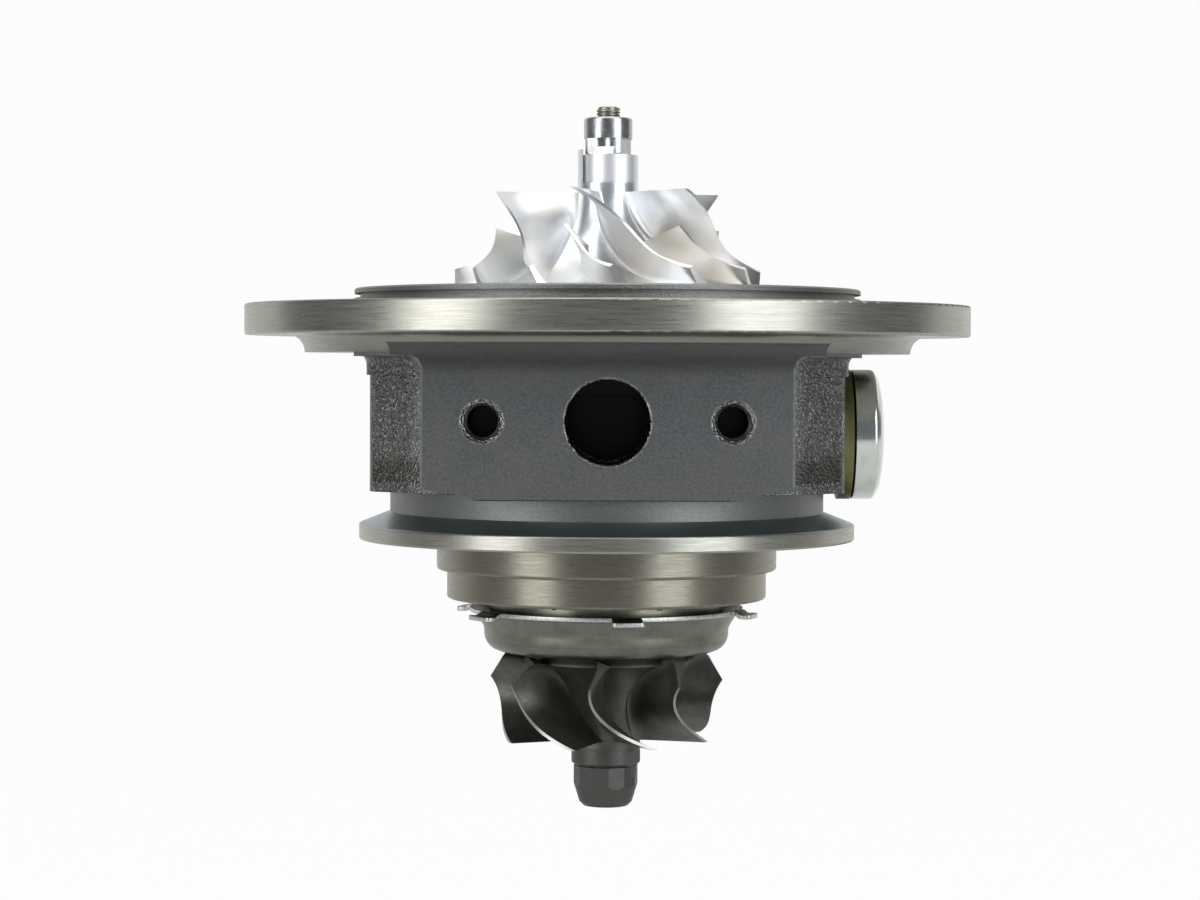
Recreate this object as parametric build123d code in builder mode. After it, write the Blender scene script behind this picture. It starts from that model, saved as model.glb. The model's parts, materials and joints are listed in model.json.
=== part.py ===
from build123d import *
from math import asin, atan2, cos, degrees, hypot, radians, sin
import os

# Turbo cartridge: bearing housing with the rotor, floating bearings and heat shroud.
# Millimetres. The origin is on the shaft axis, in the plane of the large flange's upper face.
# +Z points to the compressor, -Y to the oil drain pad, +X to the coolant plug.

# Clearances and small gaps
press_gap = 0.01
running_gap = 0.02
outer_film = 0.04
thrust_play = 0.05
seal_gap = 0.15
seat_gap = 0.05

# Big flange, boss and the ring below the flange
flange_radius = 54.3
flange_thickness = 4.6
flange_edge = 0.35
boss_radius = 38.0
boss_height = 2.4
boss_lip = 0.8
boss_groove_height = 0.65
boss_groove_depth = 0.9
step_ring_radius = 45.4
step_ring_flare = 2.4
step_ring_height = 2.57
web_half_width = 35.8
web_height = 0.6

# Cast body between the two flanges
body_half_width = 34.6
body_side_front = 16.0
body_front = 24.0
body_front_half = 25.0
body_side_back = 12.0
body_back = 30.0
body_bottom = -27.4
body_core_radius = 28.0
body_notch = 0.5
body_notch_height = 3.3
body_front_corner = 6.0
body_side_corner = 3.0

# Oil drain pad on the front
pad_front = 33.8
pad_half_width = 26.1
pad_top = -5.85
pad_side_bottom = -25.5
pad_bottom = -27.85
pad_bottom_half = 18.6
pad_corner = 2.0
pad_root = 6.0
pad_lip_width = 1.4
pad_lip_rise = 0.7
pad_cut_in = 0.6
pad_cut_rise = 0.85
port_height = -16.85
drain_radius = 5.9
drain_chamfer = 0.35
drain_bolt_spacing = 35.0
drain_bolt_radius = 2.5
drain_bolt_depth = 12.0
drain_bolt_chamfer = 0.65

# Neck, clamp rim and the two turbine housing spigots
neck_radius = 32.6
neck_bottom = -30.85
rim_radius = 37.25
rim_top = -32.7
rim_bottom = -35.0
rim_edge = 0.3
spigot_radius = 25.6
spigot_bottom = -39.6
spigot_edge = 0.45
register_radius = 24.05
register_bottom = -43.9
register_edge = 0.4

# Turbine side nose inside the heat shroud
shroud_radius = 18.35
shroud_sheet = 0.65
shroud_bottom = -51.8
shroud_corner = 2.5
shroud_mouth = 19.9
shroud_bend = -48.9
shroud_bend_radius = 1.5
shroud_flange_top = -44.8
shroud_flange_radius = 20.6
shroud_flare = 0.8
shroud_hole_radius = 9.8
tab_turns = (-107.0, -55.2, 7.4, 71.7, 128.0, 187.0)
tab_reach = 23.2
tab_drop = 1.25
tab_width = 4.3
tab_bend_start = 0.1
tab_bend_end = 0.9
tab_bend_radius = 0.4
nose_gap = 0.1
nose_hub_radius = 9.6
nose_hub_gap = 0.45
nose_relief_depth = 1.2
nose_relief_outer = 15.2
nose_relief_inner = 11.2
nose_chamfer = 2.3

# Wheel recess and the compressor end stack
recess_radius = 23.6
recess_floor = 0.9
plate_radius = 20.5
plate_thickness = 4.1
plate_seat = -5.0
plate_web = 2.7
plate_hollow_radius = 13.0
plate_skirt_outer = 16.6
plate_skirt_inner = 14.6
plate_ring_width = 1.7
plate_ring_depth = 1.5
plate_groove_rise = 1.2
plate_hole_place = 12.0
plate_hole_radius = 1.5
plate_hole_depth = 1.6
plate_hole_chamfer = 0.3
o_ring_radius = 0.7
snap_thickness = 1.0
snap_groove_depth = 0.8
snap_bore_radius = 18.6
snap_eye_angle = 18.0
snap_eye_radius = 1.7
snap_eye_hole = 0.75
snap_mouth_half = 3.4
snap_mouth_depth = 3.0

thrust_cavity_radius = 17.0
thrust_bearing_radius = 16.4
thrust_bearing_thickness = 3.0
thrust_bearing_seat = -11.0
thrust_pad_count = 3
thrust_pad_depth = 0.25
thrust_pad_length = 2.0
thrust_pad_width = 1.4
thrust_feed_radius = 0.6
thrust_feed_end = 3.0
thrust_drain_half = 6.5
thrust_drain_start = 10.2
thrust_pin_radius = 1.25
thrust_pin_place = 12.6
thrust_pin_length = 5.2
thrust_pin_depth = 2.4
deflector_thickness = 0.5
deflector_bore_radius = 8.6
deflector_radius = 16.4
deflector_mouth = 2.4
tongue_half = 5.0
tongue_length = 4.2

collar_flange_radius = 7.6
collar_flange_thickness = 1.55
collar_hub_radius = 4.6
washer_radius = 7.6
washer_thickness = 1.35
washer_cavity_radius = 8.3
flinger_hub_radius = 6.0
flinger_flange_radius = 9.2
flinger_flange_thickness = 1.2
flinger_cone = 1.0
flinger_lip = 0.5
seal_ring_width = 1.0
seal_ring_depth = 1.1
seal_ring_top = -1.7
seal_ring_split = 0.4

# Shaft
stub_radius = 2.2
thread_radius = 1.83
thread_start = 22.0
thread_pitch = 0.5
thread_depth = 0.27
shaft_end = 29.85
shaft_end_chamfer = 0.35
journal_radius = 3.3
waist_radius = 2.9
waist_cone = 0.4
waist_gap = 0.5
shaft_boss_radius = 6.6
shaft_boss_start = -43.6
shaft_boss_cone = 2.2
turbine_ring_top = -47.6

# Floating bearings, their bore and their retaining clips
bearing_radius = 5.6
bearing_length = 7.0
bearing_1_top = -13.4
bearing_2_top = -32.6
bearing_oil_hole = 0.9
bearing_oil_holes = 6
bearing_end_chamfer = 0.4
bore_relief_radius = 6.6
bore_relief_margin = 2.2
clip_thickness = 1.0
clip_gap = 0.2
clip_groove_radius = 6.35
clip_bore_radius = 4.7
clip_split = 70.0
clip_play = 0.02
relief_drain_radius = 2.0

# Oil and coolant spaces
slinger_radius = 9.0
slinger_top = -41.2
slinger_bottom = -44.6
drain_upper_half = 9.0
drain_upper_front = 25.0
drain_upper_top = -13.0
drain_upper_bottom = -32.0
drain_lower_half = 8.0
drain_lower_front = 16.0
drain_wall_start = 8.6
drain_slot_half = 6.5
gallery_place = 9.9
gallery_radius = 1.2
inlet_boss_radius = 11.0
inlet_boss_front = 33.5
inlet_boss_root = 8.0
inlet_radius = 5.1
inlet_depth = 13.0
inlet_chamfer = 0.8
jacket_inner = 13.0
jacket_outer = 20.5
jacket_top = -22.0
jacket_bottom = -38.5
jacket_sweep = 240.0
coolant_height = -19.2
coolant_radius = 6.2
coolant_chamfer = 0.8
coolant_face_radius = 10.0
coolant_core_radius = 4.0
coolant_core_drop = 1.8
jacket_wall_gap = 0.5

# Coolant plug and its washer, on the right
plug_washer_thickness = 1.9
plug_washer_radius = 9.75
plug_washer_bore = 7.2
plug_radius = 9.75
plug_collar = 0.35
plug_neck_radius = 8.7
plug_head_length = 4.5
plug_rim = 1.3
plug_shank_length = 10.0
plug_shank_chamfer = 0.6
plug_undercut = 0.5
plug_socket_across = 8.0
plug_socket_depth = 4.0

# Compressor wheel
compressor_blades = 6
wheel_back = 1.4
wheel_front = 2.4
wheel_radius = 23.0
nose_radius = 4.55
nose_top = 22.55
nose_crescent = 0.8
nose_start = 18.0
nose_grind_side = -3.75
nose_grind_radius = 4.25
nose_grind_shift = 0.3
full_blade_front = 16.9
splitter_share = 0.37
inducer_radius = 17.0
exducer_top = 5.3
blade_first_angle = 42.0
blade_tip_wrap = 49.2
blade_hub_wrap = 57.0
blade_hub_lead = -3.0
blade_tip_thickness = 0.42
blade_root_thickness = 0.9
blade_root_flare = 0.45

# Shaft nut
nut_radius = 3.65
nut_top = 28.2
nut_waist = 25.05
nut_across_flats = 6.35
nut_rounding = 0.45
nut_hole_radius = 1.86
nut_turn = -14.5
notch_depth = 0.35
notch_width = 1.5
notch_height = 1.35

# Turbine wheel
turbine_blades = 8
turbine_back = -52.2
turbine_disc_radius = 15.5
turbine_scallop_radius = 12.5
turbine_disc_rim = 0.6
turbine_tip_radius = 17.65
turbine_tip_top = -56.1
turbine_exit_radius = 15.9
turbine_exit = -65.2
turbine_hub_end = -66.2
turbine_hub_radius = 5.2
turbine_lead_angle = -0.3
turbine_lead_slope = 32.2
turbine_turn_power = 2.7
turbine_turn = 27.0
turbine_tip_thickness = 0.42
turbine_root_thickness = 1.15
turbine_root_flare = 0.7
turbine_collar_bottom = -68.8
turbine_groove_radius = 4.6
turbine_nose_top = -69.3
turbine_nose_radius = 4.85
turbine_nose_sides = 12
turbine_nose_turn = 5.0
turbine_nose_taper = -72.0
turbine_nose_end_radius = 4.0
turbine_nose_bottom = -75.4
turbine_nose_rounding = 0.6
turbine_grind_angle = 62.0
turbine_grind_depth = 0.55
turbine_grind_top = -67.0
turbine_grind_bottom = -71.2

stations = 9
root_sink = 0.35
drill_lead = 0.5

# Places that follow from the sizes above
up = (0, 0, 1)
base = (Align.CENTER, Align.CENTER, Align.MIN)
bearing_bore_radius = bearing_radius + outer_film
seal_bore_1 = flinger_hub_radius + seal_gap
seal_bore_2 = shaft_boss_radius + seal_gap
nose_radius_turbine = shroud_radius - shroud_sheet - nose_gap
nose_face = shroud_bottom + shroud_sheet
nose_hub_face = turbine_back + nose_hub_gap
flange_bottom = -flange_thickness
ring_bottom = flange_bottom - step_ring_height
web_bottom = ring_bottom - web_height
plate_top = plate_seat + plate_thickness
thrust_bearing_top = thrust_bearing_seat + thrust_bearing_thickness
collar_top = thrust_bearing_top + thrust_play + collar_flange_thickness
washer_top = thrust_bearing_seat - thrust_play
shaft_shoulder = washer_top - washer_thickness
deflector_top = thrust_bearing_top + deflector_thickness
bearing_1_bottom = bearing_1_top - bearing_length
bearing_2_bottom = bearing_2_top - bearing_length
clip_tops = {
    "bearing_clip_upper": bearing_1_bottom - clip_gap,
    "bearing_clip_middle": bearing_2_top + clip_gap + clip_thickness,
    "bearing_clip_lower": bearing_2_bottom - clip_gap,
}
plug_face = body_half_width
washer_face = plug_face + plug_washer_thickness


def write(part, name):
    # Every piece is labelled and written under its node's name.
    part.label = name
    export_step(part, f"parts/{name}.step")
    print(f"{name:34s} {len(part.solids())} solid(s) {part.volume:10.1f} mm3")


def cylinder(radius, low, high, mode=Mode.ADD):
    # A cylinder on the shaft axis between two heights, in the open part.
    with Locations((0, 0, low)):
        Cylinder(radius, high - low, align=base, mode=mode)


def tube(outer, inner, low, high):
    cylinder(outer, low, high)
    cylinder(inner, low, high, mode=Mode.SUBTRACT)


def drill(start, direction, radius, depth, chamfer_size=0.0):
    # A round hole from a point on a face, into the open part, with a chamfered mouth.
    # The tool starts a little above the face, so that the mouth is cut clean.
    mouth = Vector(*start) - Vector(*direction).normalized() * drill_lead
    with Locations(Plane(mouth, z_dir=direction)):
        Cylinder(radius, depth + drill_lead, align=base, mode=Mode.SUBTRACT)
        if chamfer_size > 0:
            wide = chamfer_size + drill_lead
            Cone(radius + wide, radius, wide, align=base, mode=Mode.SUBTRACT)


def pocket(low, high):
    # A rectangular space between two corners, cut from the open part.
    middle = [(a + b) / 2 for a, b in zip(low, high)]
    with Locations(tuple(middle)):
        Box(*[b - a for a, b in zip(low, high)], mode=Mode.SUBTRACT)


def split_gap(angle, width, radius, low, high):
    # The gap of a split ring: a narrow block from the axis outwards.
    with Locations(Plane((0, 0, low), x_dir=(cos(radians(angle)), sin(radians(angle)), 0), z_dir=up)):
        Box(radius, width, high - low, align=(Align.MIN, Align.CENTER, Align.MIN), mode=Mode.SUBTRACT)


def place(radius, angle, height):
    # A point at an angle counted from the front (-Y) towards +X.
    return Vector(radius * sin(radians(angle)), -radius * cos(radians(angle)), height)


def blade(stations_list, root_thickness, tip_thickness, flare):
    # One blade, lofted through thin sections that run from the hub to the tip.
    # A station holds its hub point and tip point as (radius, angle, height).
    paths = [[Vector(*p) for p in side] for side in zip(*stations_list)]
    last = len(stations_list) - 1
    with BuildPart() as one_blade:
        for index, (hub, tip) in enumerate(stations_list):
            slant = []
            for path in paths:
                before = path[max(index - 1, 0)]
                after = path[min(index + 1, last)]
                along = hypot(after.X - before.X, after.Z - before.Z)
                around = path[index].X * radians(after.Y - before.Y)
                slant.append(hypot(1.0, around / along))
            hub_point = place(*hub)
            tip_point = place(*tip)
            outward = (tip_point - hub_point).normalized()
            middle_angle = radians((hub[1] + tip[1]) / 2)
            around_axis = Vector(cos(middle_angle), sin(middle_angle), 0)
            span = (tip_point - hub_point).length
            root = root_thickness * slant[0] / 2
            edge = tip_thickness * slant[1] / 2
            foot = root + (edge - root) * 0.1 / span
            knee_x = min(2.2 * flare, 0.45 * span)
            knee = root + (edge - root) * knee_x / span
            with BuildSketch(Plane(hub_point, x_dir=outward, z_dir=outward.cross(around_axis))):
                with BuildLine():
                    Bezier((-root_sink, root + flare * slant[0]), (0.1, foot), (knee_x, knee))
                    Line((knee_x, knee), (span, edge))
                    Line((span, edge), (span, -edge))
                    Line((span, -edge), (knee_x, -knee))
                    Bezier((knee_x, -knee), (0.1, -foot), (-root_sink, -root - flare * slant[0]))
                    Line((-root_sink, -root - flare * slant[0]), (-root_sink, root + flare * slant[0]))
                make_face()
        loft()
    return one_blade.part


def compressor_hub(share):
    # Radius and height on the hub's ellipse, from the blade's front edge to the rim.
    rise = nose_start - wheel_front
    start = degrees(atan2(nose_start - full_blade_front, rise))
    angle = radians(start + (90 - start) * share)
    return wheel_radius - (wheel_radius - nose_radius) * cos(angle), nose_start - rise * sin(angle)


compressor_shroud = Spline(
    (inducer_radius, full_blade_front),
    (inducer_radius - 0.05, 11.2),
    (inducer_radius + 0.9, 8.6),
    (wheel_radius - 2.5, 6.4),
    (wheel_radius, exducer_top),
)


def turn_share(share, start_slope, end_slope):
    # A smooth ramp from 0 to 1 with the given slopes at its ends.
    ramp = 3 * share**2 - 2 * share**3
    return ramp + (share**3 - 2 * share**2 + share) * start_slope + (share**3 - share**2) * end_slope


def compressor_stations(first_share):
    # Hub and tip points of a compressor blade whose front edge starts at first_share.
    result = []
    for index in range(stations):
        share = first_share + (1 - first_share) * index / (stations - 1)
        hub_radius, hub_height = compressor_hub(share)
        tip = compressor_shroud @ share
        hub_angle = blade_hub_lead + blade_hub_wrap * turn_share(share, 1.55, 1.0)
        tip_angle = blade_tip_wrap * turn_share(share, 2.1, 0.9)
        result.append(((hub_radius, hub_angle, hub_height), (tip.X, tip_angle, tip.Y)))
    return result


def turbine_angle(height):
    # The turbine blades are radial fibres, so the angle follows from the height alone.
    share = (turbine_back - height) / (turbine_back - turbine_exit)
    steep = turbine_turn + turbine_lead_slope
    return turbine_lead_angle - turbine_lead_slope * share + steep * share**turbine_turn_power


turbine_shroud = Spline(
    (turbine_tip_radius, turbine_tip_top),
    (turbine_exit_radius + 0.75, turbine_tip_top - 1.9),
    (turbine_exit_radius + 0.05, turbine_tip_top - 4.2),
    (turbine_exit_radius, turbine_exit),
)


def turbine_hub(share):
    top = turbine_back - turbine_disc_rim
    angle = radians(90 * share)
    radius = turbine_disc_radius - (turbine_disc_radius - turbine_hub_radius) * sin(angle)
    return radius, turbine_hub_end + (top - turbine_hub_end) * cos(angle)


def turbine_stations():
    result = []
    for index in range(stations):
        share = index / (stations - 1)
        hub_radius, hub_height = turbine_hub(0.955 * share)
        tip = turbine_shroud @ share
        hub_place = (hub_radius, turbine_angle(hub_height), hub_height)
        result.append((hub_place, (tip.X, turbine_angle(tip.Y), tip.Y)))
    return result


os.makedirs("parts", exist_ok=True)

# Bearing housing: the turned outline, the cast body, then every bore and passage
with BuildPart() as bearing_housing:
    with BuildSketch(Plane.XZ):
        groove_top = boss_height - boss_lip
        groove_low = groove_top - boss_groove_height
        with BuildLine():
            Polyline(
                (0, boss_height),
                (boss_radius, boss_height),
                (boss_radius, groove_top),
                (boss_radius - boss_groove_depth, groove_top),
                (boss_radius - boss_groove_depth, groove_low),
                (boss_radius, groove_low),
                (boss_radius, 0),
                (flange_radius, 0),
                (flange_radius, flange_bottom),
                (step_ring_radius + step_ring_flare, flange_bottom),
            )
            EllipticalCenterArc(
                (step_ring_radius + step_ring_flare, ring_bottom),
                step_ring_flare,
                step_ring_height,
                start_angle=90,
                arc_size=90,
            )
            Polyline(
                (step_ring_radius, ring_bottom),
                (body_core_radius, ring_bottom),
                (body_core_radius, body_bottom),
                (neck_radius, body_bottom),
                (neck_radius, neck_bottom),
                (rim_radius, rim_top),
                (rim_radius, rim_bottom),
                (spigot_radius, rim_bottom),
                (spigot_radius, spigot_bottom),
                (register_radius, spigot_bottom),
                (register_radius, register_bottom),
                (nose_radius_turbine, register_bottom),
                (nose_radius_turbine, nose_face + nose_chamfer),
                (nose_radius_turbine - nose_chamfer, nose_face),
                (nose_hub_radius, nose_face),
                (nose_hub_radius, nose_hub_face),
                (0, nose_hub_face),
                (0, boss_height),
            )
        make_face()
    revolve()
    outer_edges = bearing_housing.edges().filter_by(GeomType.CIRCLE)
    fillet(outer_edges.filter_by(lambda e: abs(e.radius - flange_radius) < 0.01), flange_edge)
    fillet(outer_edges.filter_by(lambda e: abs(e.radius - rim_radius) < 0.01), rim_edge)
    chamfer(outer_edges.filter_by(lambda e: abs(e.radius - boss_radius) < 0.01).sort_by(Axis.Z)[-1], 0.25)
    spigot_low = outer_edges.filter_by(lambda e: abs(e.radius - spigot_radius) < 0.01).sort_by(Axis.Z)[0]
    fillet(spigot_low, spigot_edge)
    register_low = outer_edges.filter_by(lambda e: abs(e.radius - register_radius) < 0.01)
    fillet(register_low.sort_by(Axis.Z)[0], register_edge)

    with BuildSketch(Plane.XY.offset(body_bottom)) as body_outline:
        with BuildLine():
            Polyline(
                (-body_half_width, body_side_back),
                (-body_half_width, -body_side_front),
                (-body_front_half, -body_front),
                (body_front_half, -body_front),
                (body_half_width, -body_side_front),
                (body_half_width, body_side_back),
            )
            ThreePointArc(
                (body_half_width, body_side_back), (0, body_back), (-body_half_width, body_side_back)
            )
        make_face()
        fillet(body_outline.vertices().group_by(Axis.Y)[0], body_front_corner)
        side_corners = body_outline.vertices().filter_by(lambda v: abs(abs(v.X) - body_half_width) < 0.01)
        fillet(side_corners, body_side_corner)
    extrude(amount=ring_bottom - body_bottom)
    with BuildSketch(Plane.XY.offset(ring_bottom - body_notch_height)):
        offset(body_outline.sketch, amount=body_notch, kind=Kind.INTERSECTION)
    extrude(amount=body_notch_height)

    with BuildSketch(Plane.XY.offset(web_bottom)):
        Circle(step_ring_radius)
        Rectangle(2 * web_half_width, 2 * step_ring_radius, mode=Mode.INTERSECT)
    extrude(amount=web_height)

    with BuildSketch(Plane.XZ.offset(body_front - pad_root)) as pad_outline:
        with BuildLine():
            Polyline(
                (-pad_half_width, web_bottom),
                (-pad_half_width, pad_side_bottom),
                (-pad_half_width + pad_cut_in, pad_side_bottom - pad_cut_rise),
                (-pad_bottom_half - pad_lip_width, pad_bottom + pad_lip_rise),
                (-pad_bottom_half, pad_bottom),
                (pad_bottom_half, pad_bottom),
                (pad_bottom_half + pad_lip_width, pad_bottom + pad_lip_rise),
                (pad_half_width - pad_cut_in, pad_side_bottom - pad_cut_rise),
                (pad_half_width, pad_side_bottom),
                (pad_half_width, web_bottom),
                (-pad_half_width, web_bottom),
            )
        make_face()
        for side in (-1, 1):
            with BuildLine():
                Line(
                    (side * pad_half_width, web_bottom),
                    (side * (pad_half_width + pad_corner), web_bottom),
                )
                CenterArc(
                    (side * (pad_half_width + pad_corner), web_bottom - pad_corner),
                    pad_corner,
                    90,
                    side * 90,
                )
                Line(
                    (side * pad_half_width, web_bottom - pad_corner),
                    (side * pad_half_width, web_bottom),
                )
            make_face()
    extrude(amount=pad_front - body_front + pad_root)
    pocket((-flange_radius, -flange_radius, pad_bottom), (flange_radius, -pad_front, pad_top))

    with Locations(Plane((0, body_back - inlet_boss_root, port_height), z_dir=(0, 1, 0))):
        Cylinder(inlet_boss_radius, inlet_boss_front - body_back + inlet_boss_root, align=base)
    for side in (-1, 1):
        drill((side * (body_half_width + body_notch), 0, coolant_height), (-side, 0, 0),
              coolant_face_radius, body_notch)

    cylinder(recess_radius, recess_floor, boss_height, mode=Mode.SUBTRACT)
    cylinder(plate_radius, plate_seat, recess_floor, mode=Mode.SUBTRACT)
    cylinder(plate_radius + snap_groove_depth, plate_top - seat_gap, plate_top + snap_thickness + seat_gap,
             mode=Mode.SUBTRACT)
    cylinder(thrust_cavity_radius, thrust_bearing_seat, plate_seat, mode=Mode.SUBTRACT)
    cylinder(washer_cavity_radius, shaft_shoulder - 0.2, thrust_bearing_seat, mode=Mode.SUBTRACT)
    cylinder(bearing_bore_radius, slinger_top, shaft_shoulder, mode=Mode.SUBTRACT)
    relief_top = bearing_1_bottom - bore_relief_margin
    relief_low = bearing_2_top + bore_relief_margin
    cylinder(bore_relief_radius, relief_low, relief_top, mode=Mode.SUBTRACT)
    for clip_top in clip_tops.values():
        cylinder(clip_groove_radius, clip_top - clip_thickness - clip_play, clip_top + clip_play,
                 mode=Mode.SUBTRACT)
    cylinder(slinger_radius, slinger_bottom, slinger_top, mode=Mode.SUBTRACT)
    cylinder(seal_bore_2, nose_hub_face, slinger_bottom, mode=Mode.SUBTRACT)
    with BuildSketch(Plane.XY.offset(nose_face)):
        Circle(nose_relief_outer)
        Circle(nose_relief_inner, mode=Mode.SUBTRACT)
    extrude(amount=nose_relief_depth, mode=Mode.SUBTRACT)

    # Oil drain chamber, with its slots to the thrust cavity and the turbine end
    pocket((-drain_upper_half, -drain_upper_front, drain_upper_bottom),
           (drain_upper_half, -drain_wall_start, drain_upper_top))
    pocket((-drain_lower_half, -drain_lower_front, slinger_bottom),
           (drain_lower_half, -drain_wall_start + 0.6, drain_upper_bottom))
    pocket((-drain_slot_half, -thrust_bearing_radius + 0.8, drain_upper_top),
           (drain_slot_half, -thrust_drain_start, thrust_bearing_seat))
    relief_middle = (relief_top + relief_low) / 2
    drill((0, 0, relief_middle), (0, -1, 0), relief_drain_radius, drain_wall_start + 1.0)
    drill((0, -pad_front, port_height), (0, 1, 0), drain_radius, pad_front - drain_upper_front + 1.0,
          drain_chamfer)
    for side in (-1, 1):
        drill((side * drain_bolt_spacing / 2, -pad_front, port_height), (0, 1, 0), drain_bolt_radius,
              drain_bolt_depth, drain_bolt_chamfer)

    # Oil feed: inlet at the back, cross drilling, gallery and a feed to each bearing
    feed_1 = bearing_1_top - bearing_length / 2
    feed_2 = bearing_2_top - bearing_length / 2
    drill((0, inlet_boss_front, port_height), (0, -1, 0), inlet_radius, inlet_depth, inlet_chamfer)
    drill((0, inlet_boss_front - inlet_depth, port_height), (0, -1, 0), gallery_radius,
          inlet_boss_front - inlet_depth)
    drill((0, gallery_place, thrust_bearing_seat), (0, 0, -1), gallery_radius,
          thrust_bearing_seat - feed_2 + gallery_radius)
    drill((0, gallery_place, feed_2), (0, -1, 0), gallery_radius, gallery_place)
    for side in (-1, 1):
        drill((side * thrust_pin_place, 0, thrust_bearing_seat), (0, 0, -1),
              thrust_pin_radius + press_gap, thrust_pin_depth)

    # Coolant jacket around the turbine side bearing, with a port on either side
    with BuildSketch(Plane.YZ) as jacket_outline:
        with Locations(((jacket_inner + jacket_outer) / 2, (jacket_top + jacket_bottom) / 2)):
            Rectangle(jacket_outer - jacket_inner, jacket_top - jacket_bottom)
    revolve(jacket_outline.sketch.rotate(Axis.Z, -jacket_sweep / 2), Axis.Z, jacket_sweep,
            mode=Mode.SUBTRACT)
    for side in (-1, 1):
        drill((side * body_half_width, 0, coolant_height), (-side, 0, 0), coolant_radius,
              body_half_width - jacket_outer, coolant_chamfer)
        drill((side * jacket_outer, 0, coolant_height - coolant_core_drop), (-side, 0, 0),
              coolant_core_radius, jacket_outer - jacket_inner - jacket_wall_gap)
write(bearing_housing.part, "bearing_housing")

# Seal plate behind the compressor wheel, with a groove for its o-ring
plate_edge = plate_radius - seat_gap
plate_groove_low = plate_seat + plate_groove_rise
with BuildPart() as seal_plate:
    with BuildSketch(Plane.XZ):
        with BuildLine():
            Polyline(
                (seal_bore_1, plate_top),
                (plate_edge, plate_top),
                (plate_edge, plate_groove_low + plate_ring_width),
                (plate_edge - plate_ring_depth, plate_groove_low + plate_ring_width),
                (plate_edge - plate_ring_depth, plate_groove_low),
                (plate_edge, plate_groove_low),
                (plate_edge, plate_seat),
                (plate_skirt_outer, plate_seat),
                (plate_skirt_outer, deflector_top),
                (plate_skirt_inner, deflector_top),
                (plate_skirt_inner, plate_seat),
                (plate_hollow_radius, plate_seat),
                (plate_hollow_radius, plate_top - plate_web),
                (seal_bore_1, plate_top - plate_web),
                (seal_bore_1, plate_top),
            )
        make_face()
    revolve()
    pocket((-drain_slot_half, -plate_skirt_outer - 0.2, deflector_top),
           (drain_slot_half, -plate_skirt_inner + 0.6, plate_seat - 0.2))
    for side in (-1, 1):
        drill((side * plate_hole_place, 0, plate_top), (0, 0, -1), plate_hole_radius, plate_hole_depth,
              plate_hole_chamfer)
write(seal_plate.part, "seal_plate")

o_ring_place = plate_edge - plate_ring_depth + o_ring_radius + 0.05
with BuildPart() as seal_plate_o_ring:
    with Locations((0, 0, plate_groove_low + plate_ring_width / 2)):
        Torus(o_ring_place, o_ring_radius)
write(seal_plate_o_ring.part, "seal_plate_o_ring")

# Snap ring that holds the seal plate, open at the front with two eyes
with BuildPart() as snap_ring:
    snap_outer = plate_radius + snap_groove_depth - 0.1
    tube(snap_outer, snap_bore_radius, plate_top, plate_top + snap_thickness)
    for side in (-1, 1):
        with Locations(place(snap_bore_radius - 0.2, side * snap_eye_angle, plate_top)):
            Cylinder(snap_eye_radius, snap_thickness, align=base)
            Cylinder(snap_eye_hole, snap_thickness, align=base, mode=Mode.SUBTRACT)
    pocket((-snap_mouth_half, -snap_outer - 1.0, plate_top),
           (snap_mouth_half, -snap_bore_radius + snap_mouth_depth, plate_top + snap_thickness))
write(snap_ring.part, "seal_plate_snap_ring")

# Thrust bearing: a fixed plate with tapered pads and an opening for the draining oil
with BuildPart() as thrust_bearing:
    thrust_bore = collar_hub_radius + 0.1
    tube(thrust_bearing_radius, thrust_bore, thrust_bearing_seat, thrust_bearing_top)
    pocket((-thrust_drain_half, -thrust_bearing_radius - 1.0, thrust_bearing_seat),
           (thrust_drain_half, -thrust_drain_start, thrust_bearing_top))
    for side in (-1, 1):
        drill((side * thrust_pin_place, 0, thrust_bearing_top), (0, 0, -1),
              thrust_pin_radius + press_gap, thrust_bearing_thickness)
    for face, towards in ((thrust_bearing_top, -1), (thrust_bearing_seat, 1)):
        for index in range(thrust_pad_count):
            angle = 90 + index * 360 / thrust_pad_count
            middle = (thrust_bore + collar_flange_radius) / 2 - 0.3
            outward = Vector(cos(radians(angle)), sin(radians(angle)), 0)
            spot = outward * middle + Vector(0, 0, face)
            with Locations(Plane(spot, x_dir=outward, z_dir=(0, 0, towards))):
                Box(thrust_pad_length, thrust_pad_width, thrust_pad_depth, align=base, mode=Mode.SUBTRACT)
    mid_height = thrust_bearing_thickness / 2
    drill((0, gallery_place, thrust_bearing_seat), (0, 0, 1), gallery_radius, mid_height)
    drill((0, gallery_place + thrust_feed_radius, thrust_bearing_seat + mid_height), (0, -1, 0),
          thrust_feed_radius, gallery_place - thrust_feed_end)
write(thrust_bearing.part, "thrust_bearing")

with BuildPart() as thrust_bearing_pins:
    pin_low = thrust_bearing_seat - thrust_pin_depth + 0.1
    with Locations(*[(side * thrust_pin_place, 0, pin_low) for side in (-1, 1)]):
        Cylinder(thrust_pin_radius, thrust_pin_length, align=base)
    chamfer(thrust_bearing_pins.edges().filter_by(GeomType.CIRCLE), 0.2)
write(thrust_bearing_pins.part, "thrust_bearing_pins")

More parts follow.
